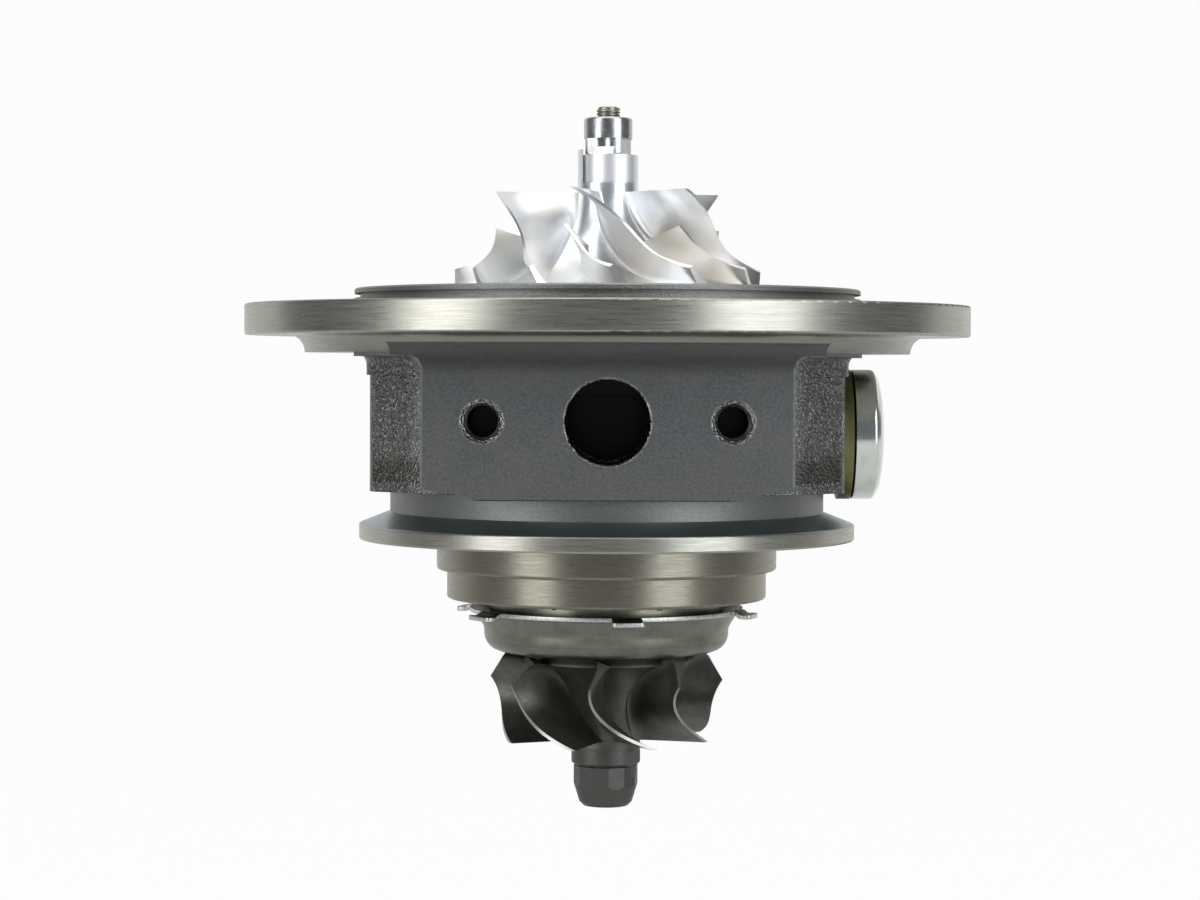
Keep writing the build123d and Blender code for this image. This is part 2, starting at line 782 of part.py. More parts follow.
# Oil deflector: a thin ring with a tongue that leads oil into the drain
with BuildPart() as oil_deflector:
    tube(deflector_radius, deflector_bore_radius, thrust_bearing_top, deflector_top)
    pocket((-thrust_drain_half, -deflector_radius - 1.0, thrust_bearing_top),
           (thrust_drain_half, -deflector_radius + deflector_mouth, deflector_top))
    tongue_back = deflector_radius - deflector_mouth
    with Locations((0, -tongue_back - deflector_thickness / 2 + 0.5, deflector_top)):
        Box(
            2 * tongue_half,
            deflector_thickness,
            tongue_length,
            align=(Align.CENTER, Align.CENTER, Align.MAX),
        )
write(oil_deflector.part, "oil_deflector")


def piston_ring(bore, groove_floor, top):
    # A split sealing ring that stays still in its bore, with the shaft turning inside.
    with BuildPart() as ring:
        tube(bore - press_gap, groove_floor + 0.12, top - seal_ring_width, top)
        split_gap(-90, seal_ring_split, bore + 1.0, top - seal_ring_width, top)
    return ring.part


compressor_groove_floor = flinger_hub_radius - seal_ring_depth
turbine_groove_floor = shaft_boss_radius - seal_ring_depth - 0.2
write(piston_ring(seal_bore_1, compressor_groove_floor, seal_ring_top), "compressor_seal_ring")
write(piston_ring(seal_bore_2, turbine_groove_floor, turbine_ring_top), "turbine_seal_ring")

# Retaining clips of the floating bearings, one solid each
for name, top in clip_tops.items():
    with BuildPart() as clip:
        tube(clip_groove_radius - 0.05, clip_bore_radius, top - clip_thickness, top)
        with BuildSketch(Plane.XY.offset(top - clip_thickness)):
            with BuildLine():
                reach = clip_groove_radius * 2
                left = place(reach, -clip_split / 2, 0)
                right = place(reach, clip_split / 2, 0)
                Polyline((0, 0), (left.X, left.Y), (right.X, right.Y), (0, 0))
            make_face()
        extrude(amount=clip_thickness, mode=Mode.SUBTRACT)
    write(clip.part, name)

# Floating journal bearings with radial oil holes
for name, top in (
    ("journal_bearing_compressor_side", bearing_1_top),
    ("journal_bearing_turbine_side", bearing_2_top),
):
    with BuildPart() as journal_bearing:
        tube(bearing_radius, journal_radius + running_gap, top - bearing_length, top)
        chamfer(journal_bearing.edges().filter_by(lambda e: e.geom_type == GeomType.CIRCLE
                and abs(e.radius - bearing_radius) < 0.01), bearing_end_chamfer)
        for index in range(bearing_oil_holes):
            turn = radians(index * 360 / bearing_oil_holes)
            drill((0, 0, top - bearing_length / 2), (sin(turn), cos(turn), 0), bearing_oil_hole,
                  bearing_radius + 1.0)
    write(journal_bearing.part, name)

# Heat shroud: a pressed sheet cup over the turbine side nose, with six bent tabs
with BuildPart() as heat_shroud:
    half = shroud_sheet / 2
    with BuildSketch(Plane.XZ):
        with BuildLine() as cup_line:
            FilletPolyline(
                (shroud_flange_radius, shroud_flange_top - half),
                (shroud_mouth, shroud_flange_top - half),
                (shroud_radius - half, shroud_bend),
                (shroud_radius - half, shroud_bottom + half),
                (shroud_hole_radius, shroud_bottom + half),
                radius=[shroud_flare, shroud_bend_radius, shroud_corner - half],
            )
        trace(line_width=shroud_sheet)
    revolve()
    for turn in tab_turns:
        angle = radians(turn)
        outward = (sin(angle), -cos(angle), 0)
        sideways = (-cos(angle), -sin(angle), 0)
        with BuildSketch(Plane((0, 0, 0), x_dir=outward, z_dir=sideways)) as tab:
            with BuildLine():
                level = shroud_flange_top - half
                FilletPolyline(
                    (shroud_flange_radius - shroud_sheet, level),
                    (shroud_flange_radius + tab_bend_start, level),
                    (shroud_flange_radius + tab_bend_end, level - tab_drop),
                    (tab_reach, level - tab_drop),
                    radius=tab_bend_radius,
                )
            trace(line_width=shroud_sheet)
        extrude(amount=tab_width / 2, both=True)
write(heat_shroud.part, "heat_shroud")

# Coolant plug and its sealing washer
with BuildPart() as coolant_plug_washer:
    with Locations(Plane((plug_face, 0, coolant_height), z_dir=(1, 0, 0))):
        Cylinder(plug_washer_radius, plug_washer_thickness, align=base)
        Cylinder(plug_washer_bore, plug_washer_thickness, align=base, mode=Mode.SUBTRACT)
write(coolant_plug_washer.part, "coolant_plug_washer")

with BuildPart() as coolant_plug:
    plug_plane = Plane((washer_face, 0, coolant_height), x_dir=(0, 1, 0), z_dir=(1, 0, 0))
    with BuildSketch(Plane.XZ) as plug_outline:
        with BuildLine():
            low = -plug_washer_thickness - plug_shank_length
            shank = coolant_radius - seat_gap
            undercut_low = -plug_washer_thickness - plug_shank_chamfer
            Polyline(
                (0, low),
                (shank - plug_shank_chamfer, low),
                (shank, low + plug_shank_chamfer),
                (shank, undercut_low - plug_undercut),
                (shank - plug_undercut, undercut_low),
                (shank - plug_undercut, 0),
                (plug_neck_radius, 0),
                (plug_neck_radius, plug_collar),
                (plug_radius, plug_collar),
                (plug_radius, plug_head_length - plug_rim),
            )
            RadiusArc(
                (plug_radius, plug_head_length - plug_rim),
                (plug_radius - plug_rim, plug_head_length),
                -plug_rim,
            )
            Polyline((plug_radius - plug_rim, plug_head_length), (0, plug_head_length), (0, low))
        make_face()
    revolve(axis=Axis.Z)
    with BuildSketch(Plane.XY.offset(plug_head_length)):
        RegularPolygon(plug_socket_across / 2, 6, major_radius=False)
    extrude(amount=-plug_socket_depth, mode=Mode.SUBTRACT)
write(plug_plane.location * coolant_plug.part, "coolant_plug")

# Shaft, with the seal boss that is welded to the turbine wheel
with BuildPart() as shaft:
    with BuildSketch(Plane.XZ):
        groove_low = turbine_ring_top - seal_ring_width - thrust_play
        groove_high = turbine_ring_top + thrust_play
        waist_top = relief_top - waist_gap
        waist_low = relief_low + waist_gap
        with BuildLine():
            Polyline(
                (0, turbine_back),
                (shaft_boss_radius, turbine_back),
                (shaft_boss_radius, groove_low),
                (turbine_groove_floor, groove_low),
                (turbine_groove_floor, groove_high),
                (shaft_boss_radius, groove_high),
                (shaft_boss_radius, shaft_boss_start),
                (journal_radius, shaft_boss_start + shaft_boss_cone),
                (journal_radius, waist_low - waist_cone),
                (waist_radius, waist_low),
                (waist_radius, waist_top),
                (journal_radius, waist_top + waist_cone),
                (journal_radius, shaft_shoulder),
                (stub_radius, shaft_shoulder),
                (stub_radius, thread_start),
                (thread_radius, thread_start + stub_radius - thread_radius),
                (thread_radius, shaft_end - shaft_end_chamfer),
                (thread_radius - shaft_end_chamfer, shaft_end),
                (0, shaft_end),
                (0, turbine_back),
            )
        make_face()
    revolve()
    # The thread shows above the nut as rings at the thread's pitch.
    groove_count = int((shaft_end - shaft_end_chamfer - nut_top) / thread_pitch)
    for index in range(groove_count):
        height = nut_top + thread_pitch * (index + 0.6)
        with BuildSketch(Plane.XZ):
            with BuildLine():
                Polyline(
                    (thread_radius + 0.1, height - thread_pitch / 2),
                    (thread_radius - thread_depth, height),
                    (thread_radius + 0.1, height + thread_pitch / 2),
                    (thread_radius + 0.1, height - thread_pitch / 2),
                )
            make_face()
        revolve(mode=Mode.SUBTRACT)
write(shaft.part, "shaft")

# Rotating pieces between the compressor wheel and the shaft's shoulder
stub_bore = stub_radius + press_gap
with BuildPart() as thrust_washer:
    tube(washer_radius, stub_bore, shaft_shoulder, washer_top)
    chamfer(thrust_washer.edges().filter_by(GeomType.CIRCLE).sort_by(SortBy.RADIUS)[-2:], 0.15)
write(thrust_washer.part, "thrust_washer")

with BuildPart() as thrust_collar:
    tube(collar_hub_radius, stub_bore, washer_top, collar_top)
    tube(collar_flange_radius, stub_bore, collar_top - collar_flange_thickness, collar_top)
write(thrust_collar.part, "thrust_collar")

with BuildPart() as oil_flinger:
    with BuildSketch(Plane.XZ):
        groove_low = seal_ring_top - seal_ring_width - thrust_play
        groove_high = seal_ring_top + thrust_play
        with BuildLine():
            Polyline(
                (stub_bore, collar_top),
                (flinger_flange_radius - flinger_cone, collar_top),
                (flinger_flange_radius, collar_top + flinger_lip),
                (flinger_flange_radius, collar_top + flinger_flange_thickness),
                (flinger_hub_radius, collar_top + flinger_flange_thickness + flinger_lip),
                (flinger_hub_radius, groove_low),
                (compressor_groove_floor, groove_low),
                (compressor_groove_floor, groove_high),
                (flinger_hub_radius, groove_high),
                (flinger_hub_radius, wheel_back),
                (stub_bore, wheel_back),
                (stub_bore, collar_top),
            )
        make_face()
    revolve()
write(oil_flinger.part, "oil_flinger")

# Compressor wheel: turned hub, six full blades and six splitters
full_blade = blade(compressor_stations(0.0), blade_root_thickness, blade_tip_thickness, blade_root_flare)
splitter = blade(
    compressor_stations(splitter_share), blade_root_thickness, blade_tip_thickness, blade_root_flare
)
with BuildPart() as compressor_wheel:
    with BuildSketch(Plane.XZ):
        rise = nose_start - wheel_front
        nose_end = nose_top + nose_crescent
        with BuildLine():
            Polyline((0, nose_end), (nose_radius, nose_end), (nose_radius, nose_start))
            EllipticalCenterArc(
                (wheel_radius, nose_start), wheel_radius - nose_radius, rise, start_angle=180, arc_size=90
            )
            Polyline((wheel_radius, wheel_front), (wheel_radius, wheel_back), (0, wheel_back), (0, nose_end))
        make_face()
    revolve()
    grind_low = nose_start + 0.3
    with BuildSketch(Plane.XY.offset(grind_low)):
        with Locations((nose_grind_side + wheel_radius / 2, 0)):
            Rectangle(wheel_radius, wheel_radius)
        with Locations((nose_grind_shift, 0)):
            Circle(nose_grind_radius, mode=Mode.SUBTRACT)
    extrude(amount=nose_end - grind_low, mode=Mode.SUBTRACT)
    pocket((nose_grind_side, -wheel_radius, nose_top), (wheel_radius, wheel_radius, nose_end))
    blade_pitch = 360 / compressor_blades
    for index in range(compressor_blades):
        turn = blade_first_angle + index * blade_pitch
        add(full_blade.rotate(Axis.Z, turn))
        add(splitter.rotate(Axis.Z, turn - blade_pitch / 2))
    cylinder(stub_bore, wheel_back, nose_end, mode=Mode.SUBTRACT)
write(compressor_wheel.part, "compressor_wheel")

# Shaft nut: hexagon below, round collar above, with a ground balance notch
with BuildPart() as shaft_nut:
    with BuildSketch(Plane.XY.offset(nose_top)):
        RegularPolygon(nut_across_flats / 2, 6, major_radius=False, rotation=nut_turn)
    extrude(amount=nut_waist - nose_top)
    cylinder(nut_radius, nut_waist, nut_top)
    fillet(shaft_nut.edges().filter_by(GeomType.CIRCLE).sort_by(Axis.Z)[-1], nut_rounding)
    pocket((-notch_width - 0.5, -nut_radius - 1.0, nut_waist - notch_height),
           (-0.5, -nut_across_flats / 2 + notch_depth, nut_waist))
    cylinder(nut_hole_radius, nose_top, nut_top, mode=Mode.SUBTRACT)
write(shaft_nut.part, "shaft_nut")

# Turbine wheel: twelve sided nose, collar, hub and eight blades
turbine_blade = blade(turbine_stations(), turbine_root_thickness, turbine_tip_thickness, turbine_root_flare)
with BuildPart() as turbine_wheel:
    with BuildSketch(Plane.XY.offset(turbine_nose_bottom)):
        RegularPolygon(turbine_nose_radius, turbine_nose_sides, rotation=turbine_nose_turn)
    extrude(amount=turbine_nose_top - turbine_nose_bottom)
    with BuildSketch(Plane.XZ):
        with BuildLine():
            Polyline(
                (0, turbine_nose_top),
                (turbine_nose_radius, turbine_nose_top),
                (turbine_nose_radius, turbine_nose_taper),
                (turbine_nose_end_radius, turbine_nose_bottom + turbine_nose_rounding),
                (turbine_nose_end_radius - turbine_nose_rounding, turbine_nose_bottom),
                (0, turbine_nose_bottom),
                (0, turbine_nose_top),
            )
        make_face()
    revolve(mode=Mode.INTERSECT)
    with BuildSketch(Plane.XZ):
        top = turbine_back - turbine_disc_rim
        hub_reach = turbine_disc_radius - turbine_hub_radius
        scallop_angle = degrees(asin((turbine_disc_radius - turbine_scallop_radius) / hub_reach))
        scallop_low = turbine_hub_end + (top - turbine_hub_end) * cos(radians(scallop_angle))
        with BuildLine():
            Polyline(
                (0, turbine_back),
                (turbine_scallop_radius, turbine_back),
                (turbine_scallop_radius, scallop_low),
            )
            EllipticalCenterArc(
                (turbine_disc_radius, turbine_hub_end),
                hub_reach,
                top - turbine_hub_end,
                start_angle=90 + scallop_angle,
                arc_size=90 - scallop_angle,
            )
            Polyline(
                (turbine_hub_radius, turbine_hub_end),
                (turbine_hub_radius, turbine_collar_bottom),
                (turbine_groove_radius, turbine_nose_top),
                (0, turbine_nose_top),
                (0, turbine_back),
            )
        make_face()
    revolve()
    # A flat ground for balance on one side of the collar and the nose
    grind_place = place(turbine_hub_radius - turbine_grind_depth, turbine_grind_angle, turbine_grind_bottom)
    with Locations(Plane(grind_place, x_dir=(grind_place.X, grind_place.Y, 0), z_dir=up)):
        Box(
            turbine_hub_radius,
            2 * turbine_hub_radius,
            turbine_grind_top - turbine_grind_bottom,
            align=(Align.MIN, Align.CENTER, Align.MIN),
            mode=Mode.SUBTRACT,
        )
    for index in range(turbine_blades):
        add(turbine_blade.rotate(Axis.Z, index * 360 / turbine_blades))
write(turbine_wheel.part, "turbine_wheel")
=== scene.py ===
# %% [markdown]
# # A turbo cartridge in Blender
# A turbo cartridge is the heart of a turbocharger: an iron bearing housing with a bright milled
# compressor wheel above it and a dark cast turbine wheel below it. The construction arrives as a
# fixed frame of separate pieces in metres, with the origin on the shaft axis in the plane of the
# large flange. This lesson dresses those pieces: turned iron, rough casting, milled aluminium,
# polished steel, pressed sheet and burnt nickel alloy. We begin by loading the frame.

# %% Load the frame
import bpy
import bmesh
import json
from math import atan, atan2, cos, degrees, pi, radians, sin, tan
from mathutils import Matrix, Vector


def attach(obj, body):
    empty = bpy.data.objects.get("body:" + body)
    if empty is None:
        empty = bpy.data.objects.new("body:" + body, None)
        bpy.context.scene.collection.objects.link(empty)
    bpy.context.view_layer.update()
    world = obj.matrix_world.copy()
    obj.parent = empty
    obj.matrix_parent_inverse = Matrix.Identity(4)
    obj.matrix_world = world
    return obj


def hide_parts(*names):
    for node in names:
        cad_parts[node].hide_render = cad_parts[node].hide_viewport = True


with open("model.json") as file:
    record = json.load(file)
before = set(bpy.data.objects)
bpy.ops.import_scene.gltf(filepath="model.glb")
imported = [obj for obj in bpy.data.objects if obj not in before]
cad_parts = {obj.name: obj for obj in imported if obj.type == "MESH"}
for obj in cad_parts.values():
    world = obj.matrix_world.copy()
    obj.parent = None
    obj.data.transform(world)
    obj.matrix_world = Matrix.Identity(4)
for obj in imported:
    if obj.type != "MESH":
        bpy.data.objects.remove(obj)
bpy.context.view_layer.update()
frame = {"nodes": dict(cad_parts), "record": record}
nodes = frame["nodes"]
MM = 0.001
print("pieces in the frame:", len(nodes))

# %% [markdown]
# ## The camera
# The photograph looks at the cartridge from the front, a little above its middle, from less than
# half a metre away, so the near rim of the flange is visibly larger than its sides. The focal
# length follows from the frame's width in pixels, and the small tilt puts the eye level on the
# picture line where the flange's faces close up to lines.

# %% Camera
PHOTO_WIDTH = 1200
PHOTO_HEIGHT = 900
SENSOR_WIDTH = 36.0
AXIS_PIXEL = 607.3
EYE_LEVEL_PIXEL = 365.0
PIXELS_PER_MM = 6.63
CAMERA_DISTANCE = 426.0
EYE_LEVEL = -8.9
ROLL = radians(-0.23)

focal_pixels = PIXELS_PER_MM * CAMERA_DISTANCE
camera_data = bpy.data.cameras.new("camera")
camera_data.sensor_width = SENSOR_WIDTH
camera_data.lens = focal_pixels / PHOTO_WIDTH * SENSOR_WIDTH
camera_data.clip_start = 0.01
camera = bpy.data.objects.new("camera", camera_data)
side_shift = (PHOTO_WIDTH / 2 - AXIS_PIXEL) / PIXELS_PER_MM
tilt = atan((PHOTO_HEIGHT / 2 - EYE_LEVEL_PIXEL) / focal_pixels)
camera.location = (side_shift * MM, -CAMERA_DISTANCE * MM, EYE_LEVEL * MM)
camera.rotation_euler = (pi / 2 - tilt, ROLL, 0)
bpy.context.scene.collection.objects.link(camera)
bpy.context.scene.camera = camera
bpy.context.scene.view_settings.view_transform = "Standard"
print("lens", round(camera_data.lens, 1), "mm")

# %% [markdown]
# ## A helper for materials
# Every finish is a tree of nodes. This helper adds one node at a time, so that a material reads
# from top to bottom. Masks are numbers from 0 to 1: multiplied, they keep what they share, and the
# larger of two keeps either. Patterns read millimetres, so their scale has a real size.

# %% A helper for materials


class Graph:
    """A small helper that builds a node material, one named step at a time."""

    def __init__(self, name):
        self.material = bpy.data.materials.new(name)
        self.material.use_nodes = True
        self.tree = self.material.node_tree
        self.tree.nodes.clear()

    def add(self, kind, values=None, **settings):
        node = self.tree.nodes.new(kind)
        for key, value in settings.items():
            setattr(node, key, value)
        for key, value in (values or {}).items():
            self.feed(node.inputs[key], value)
        return node

    def feed(self, socket, value):
        if isinstance(value, bpy.types.NodeSocket):
            self.tree.links.new(value, socket)
        elif hasattr(value, "__len__") and len(value) == 3 and socket.type == "RGBA":
            socket.default_value = (*value, 1.0)
        else:
            socket.default_value = value

    def math(self, operation, a, b=0.0):
        return self.add("ShaderNodeMath", {0: a, 1: b}, operation=operation).outputs[0]

    def both(self, first, *others):
        """The share that all the masks have in common, or one mask held down by a number."""
        for other in others:
            first = self.math("MULTIPLY", first, other)
        return first

    def either(self, a, b):
        return self.math("MAXIMUM", a, b)

    def outside(self, mask):
        return self.math("SUBTRACT", 1.0, mask)

    def distance(self, across, up):
        """How far a point lies from an axis, from its two offsets."""
        squares = self.math("ADD", self.math("POWER", across, 2.0), self.math("POWER", up, 2.0))
        return self.math("SQRT", squares)

    def scaled(self, vector, factors):
        node = self.add("ShaderNodeVectorMath", {0: vector, 1: factors}, operation="MULTIPLY")
        return node.outputs[0]

    def places(self):
        """Object coordinates in millimetres, and the distance from the shaft axis."""
        coordinates = self.add("ShaderNodeTexCoord").outputs["Object"]
        self.mm = self.scaled(coordinates, (1000, 1000, 1000))
        parts = self.add("ShaderNodeSeparateXYZ", {0: self.mm})
        self.x, self.y, self.z = parts.outputs
        flat = self.scaled(self.mm, (1, 1, 0))
        self.radius = self.add("ShaderNodeVectorMath", {0: flat}, operation="LENGTH").outputs["Value"]

    def along_turning(self, stretch):
        """Coordinates in which a noise runs in rings round the shaft axis; stretch shortens them."""
        angle = self.math("ARCTAN2", self.x, self.math("MULTIPLY", self.y, -1.0))
        turning = {0: self.radius, 1: self.z, 2: self.math("MULTIPLY", angle, stretch)}
        return self.add("ShaderNodeCombineXYZ", turning).outputs[0]

    def noise(self, vector, scale, detail=3.0, roughness=0.5):
        values = {"Vector": vector, "Scale": scale, "Detail": detail, "Roughness": roughness}
        return self.add("ShaderNodeTexNoise", values).outputs["Fac"]

    def ramp(self, value, low, high, out_low=0.0, out_high=1.0):
        values = {"Value": value, "From Min": low, "From Max": high, "To Min": out_low, "To Max": out_high}
        return self.add("ShaderNodeMapRange", values, interpolation_type="SMOOTHSTEP").outputs["Result"]

    def between(self, value, low, high, soft=0.05):
        """1 where value lies between low and high, with soft ends."""
        rising = self.ramp(value, low - soft, low + soft)
        falling = self.ramp(value, high - soft, high + soft, 1.0, 0.0)
        return self.both(rising, falling)

    def blend(self, factor, a, b):
        node = self.add("ShaderNodeMix", data_type="RGBA")
        self.feed(node.inputs["Factor"], factor)
        self.feed(node.inputs[6], a)
        self.feed(node.inputs[7], b)
        return node.outputs[2]

    def mix(self, factor, a, b):
        node = self.add("ShaderNodeMix", data_type="FLOAT")
        self.feed(node.inputs["Factor"], factor)
        self.feed(node.inputs[2], a)
        self.feed(node.inputs[3], b)
        return node.outputs[0]

    def bump(self, height, depth_mm, normal=None):
        node = self.add("ShaderNodeBump", {"Height": height, "Distance": depth_mm * MM})
        if normal is not None:
            self.feed(node.inputs["Normal"], normal)
        return node.outputs["Normal"]

    def finish(self, **values):
        """Closes the material with a Principled shader, whose sockets the keywords name."""
        named = {key.replace("_", " ").title(): value for key, value in values.items()}
        shader = self.add("ShaderNodeBsdfPrincipled", named)
        self.add("ShaderNodeOutputMaterial", {"Surface": shader.outputs[0]})
        return self.material


# %% [markdown]
# ## The paper sweep
# The floor and the backdrop are one sweep of paper, pulled from a single edge and bent upwards by
# the spin operator. It is white to the camera, softly bright in reflections, and still catches a
# shadow, because the Light Path node tells these kinds of ray apart.

# %% Paper sweep


def pulled(mesh, edges, move):
    """Extrudes a row of edges, moves what grew, in metres, and gives the new row back."""
    grown = bmesh.ops.extrude_edge_only(mesh, edges=edges)["geom"]
    points = [g for g in grown if isinstance(g, bmesh.types.BMVert)]
    bmesh.ops.translate(mesh, verts=points, vec=move)
    fresh = [g for g in grown if isinstance(g, bmesh.types.BMEdge)]
    return [edge for edge in fresh if all(point in points for point in edge.verts)]


def ends_of(edges):
    """The points that a row of edges joins, each one once and in a fixed order."""
    return list(dict.fromkeys(point for edge in edges for point in edge.verts))


FLOOR_LEVEL = -0.16
SWEEP_FRONT = -0.9
SWEEP_BACK = 1.3
SWEEP_HALF_WIDTH = 2.2
SWEEP_HEIGHT = 1.6
SWEEP_BEND = 0.5

sweep_mesh = bmesh.new()
front_left = sweep_mesh.verts.new((-SWEEP_HALF_WIDTH, SWEEP_FRONT, FLOOR_LEVEL))
front_right = sweep_mesh.verts.new((SWEEP_HALF_WIDTH, SWEEP_FRONT, FLOOR_LEVEL))
front_edge = sweep_mesh.edges.new((front_left, front_right))
far_edge = pulled(sweep_mesh, [front_edge], (0, SWEEP_BACK - SWEEP_BEND - SWEEP_FRONT, 0))
bend = bmesh.ops.spin(
    sweep_mesh,
    geom=ends_of(far_edge) + far_edge,
    cent=(0, SWEEP_BACK - SWEEP_BEND, FLOOR_LEVEL + SWEEP_BEND),
    axis=(1, 0, 0),
    angle=pi / 2,
    steps=16,
)["geom_last"]
top_edge = [g for g in bend if isinstance(g, bmesh.types.BMEdge)]
pulled(sweep_mesh, top_edge, (0, 0, SWEEP_HEIGHT))
sweep_data = bpy.data.meshes.new("floor")
sweep_mesh.to_mesh(sweep_data)
sweep_mesh.free()
floor = bpy.data.objects.new("floor", sweep_data)
bpy.context.scene.collection.objects.link(floor)

CAMERA_WHITE = 0.97
MIRRORED_FLOOR = 0.30
MIRRORED_WALL = 0.85
MIRROR_NEAR = 50.0
MIRROR_FAR = 500.0
PAPER_COLOUR = (0.55, 0.55, 0.54)

paper = Graph("paper_sweep")
path = paper.add("ShaderNodeLightPath").outputs
mirrored = paper.either(path["Is Glossy Ray"], path["Is Transmission Ray"])
paper.places()
brightness = paper.ramp(paper.y, MIRROR_NEAR, MIRROR_FAR, MIRRORED_FLOOR, MIRRORED_WALL)
glow_share = paper.mix(path["Is Camera Ray"], paper.both(mirrored, brightness), CAMERA_WHITE)
diffuse = paper.add("ShaderNodeBsdfDiffuse", {"Color": PAPER_COLOUR})
glow = paper.add("ShaderNodeEmission", {"Color": (1, 1, 1), "Strength": 1.0})
surface = paper.add("ShaderNodeMixShader", {0: glow_share, 1: diffuse.outputs[0], 2: glow.outputs[0]})
paper.add("ShaderNodeOutputMaterial", {"Surface": surface.outputs[0]})
floor.data.materials.append(paper.material)
print("paper sweep has", len(sweep_data.polygons), "faces, floor at", FLOOR_LEVEL)

# %% [markdown]
# ## The room and the lamps
# Two large soft lamps stand to the left and right of the camera, because bright upright bands run
# down every turned rim at the same two angles. A third one hangs above. The room adds a little
# cool light from all sides, and looks white to the camera.

# %% Room and lamps
WORLD_WHITE = 0.96
ROOM_COLOUR = (0.62, 0.66, 0.72, 1.0)
ROOM_STRENGTH = 0.24

world = bpy.data.worlds.new("studio")
world.use_nodes = True
world_nodes = world.node_tree.nodes
world_links = world.node_tree.links
room = world_nodes["Background"]
room.inputs["Color"].default_value = ROOM_COLOUR
room.inputs["Strength"].default_value = ROOM_STRENGTH
white = world_nodes.new("ShaderNodeBackground")
white.inputs["Color"].default_value = (1.0, 1.0, 1.0, 1.0)
white.inputs["Strength"].default_value = WORLD_WHITE
by_ray = world_nodes.new("ShaderNodeLightPath")
choice = world_nodes.new("ShaderNodeMixShader")
world_links.new(by_ray.outputs["Is Camera Ray"], choice.inputs[0])
world_links.new(room.outputs[0], choice.inputs[1])
world_links.new(white.outputs[0], choice.inputs[2])
world_links.new(choice.outputs[0], world_nodes["World Output"].inputs["Surface"])
bpy.context.scene.world = world

LAMP_DISTANCE = 0.9
LAMP_HEIGHT = 0.90
LAMP_ELEVATION = 12


def soft_lamp(name, azimuth, elevation, distance, width, height, power, colour):
    """An area lamp that faces the cartridge; azimuth 0 is the camera's side, positive to the right."""
    lamp = bpy.data.lights.new(name, "AREA")
    lamp.shape = "RECTANGLE"
    lamp.size = width
    lamp.size_y = height
    lamp.energy = power
    lamp.color = colour
    holder = bpy.data.objects.new(name, lamp)
    a, e = radians(azimuth), radians(elevation)
    toward = Vector((sin(a) * cos(e), -cos(a) * cos(e), sin(e)))
    holder.location = toward * distance
    holder.rotation_euler = toward.to_track_quat("Z", "Y").to_euler()
    bpy.context.scene.collection.objects.link(holder)


soft_lamp(
    "lamp_left", -50, LAMP_ELEVATION, LAMP_DISTANCE, width=0.42, height=LAMP_HEIGHT,
    power=3.95, colour=(0.96, 0.975, 1.0))
soft_lamp(
    "lamp_right", 45, LAMP_ELEVATION, LAMP_DISTANCE, width=0.50, height=LAMP_HEIGHT,
    power=4.55, colour=(0.92, 0.965, 1.0))
soft_lamp("lamp_top", 0, 80, 1.0, width=1.4, height=1.4, power=11.0, colour=(1.0, 1.0, 1.0))
print("lamps:", len(bpy.data.lights))

# %% [markdown]
# ## Turned and cast iron
# The housing is one casting. Its flanges and spigots are turned, so very fine rings run round
# them. The drain pad is ground flat and dark. What lies between them was left as cast, with a
# skin of small pebbles. One material covers the whole node. It reads the place of each point, in
# millimetres, and picks the finish that belongs there, so we begin with the regions, as masks.

# %% Regions of the housing
RING_BOTTOM = -7.17
WEB_BOTTOM = -7.77
PAD_FRONT = -33.8
PAD_TOP = -5.85
PAD_BOTTOM = -27.85
PAD_REACH = 37.0
PAD_HALF_WIDTH = 26.1
PAD_CORNER = 2.0
BURR_AND_HIGHLIGHT_BOTTOM = -26.2
BODY_BOTTOM = -27.4
NECK_BOTTOM = -30.85
NECK_RADIUS = 32.6
RIM_TOP = -32.7
RIM_BOTTOM = -35.0
PORT_HEIGHT = -16.85
DRAIN_RADIUS = 5.9
DRAIN_LIP = 0.42
BOLT_PLACE = 17.5
BOLT_RADIUS = 2.5
BOLT_LIP = 0.72


def housing_regions(g):
    """Masks over the housing: 1 inside a region, 0 outside it."""
    before_pad = g.ramp(g.y, PAD_FRONT + 0.04, PAD_FRONT + 0.09, 1.0, 0.0)
    pad_height = g.between(g.z, PAD_BOTTOM - 0.1, PAD_TOP + 0.1)
    foot_height = g.between(g.z, PAD_BOTTOM - 0.05, PAD_BOTTOM + 0.14, 0.04)
    cone_height = g.between(g.z, RIM_TOP - 0.03, NECK_BOTTOM + 0.03, 0.03)
    return {
        "cast": g.both(g.between(g.z, BODY_BOTTOM, WEB_BOTTOM, 0.06), g.outside(before_pad)),
        "pad": g.both(before_pad, pad_height, g.between(g.x, -PAD_REACH, PAD_REACH)),
        "painted shadow under pad": g.both(foot_height, g.between(g.x, -18.6, 17.4, 0.8), before_pad),
        "cone": g.both(cone_height, g.ramp(g.radius, NECK_RADIUS + 0.08, NECK_RADIUS + 0.25)),
        "neck": g.between(g.z, NECK_BOTTOM, BODY_BOTTOM - 0.05),
        "low steps": g.ramp(g.z, RIM_BOTTOM - 0.1, RIM_BOTTOM + 0.1, 1.0, 0.0),
        "boss": g.ramp(g.z, 0.1, 0.3),
        "flange face": g.between(g.z, -0.15, 0.1, 0.04),
        "under flange": g.between(g.z, RING_BOTTOM - 0.02, -4.5, 0.1),
    }


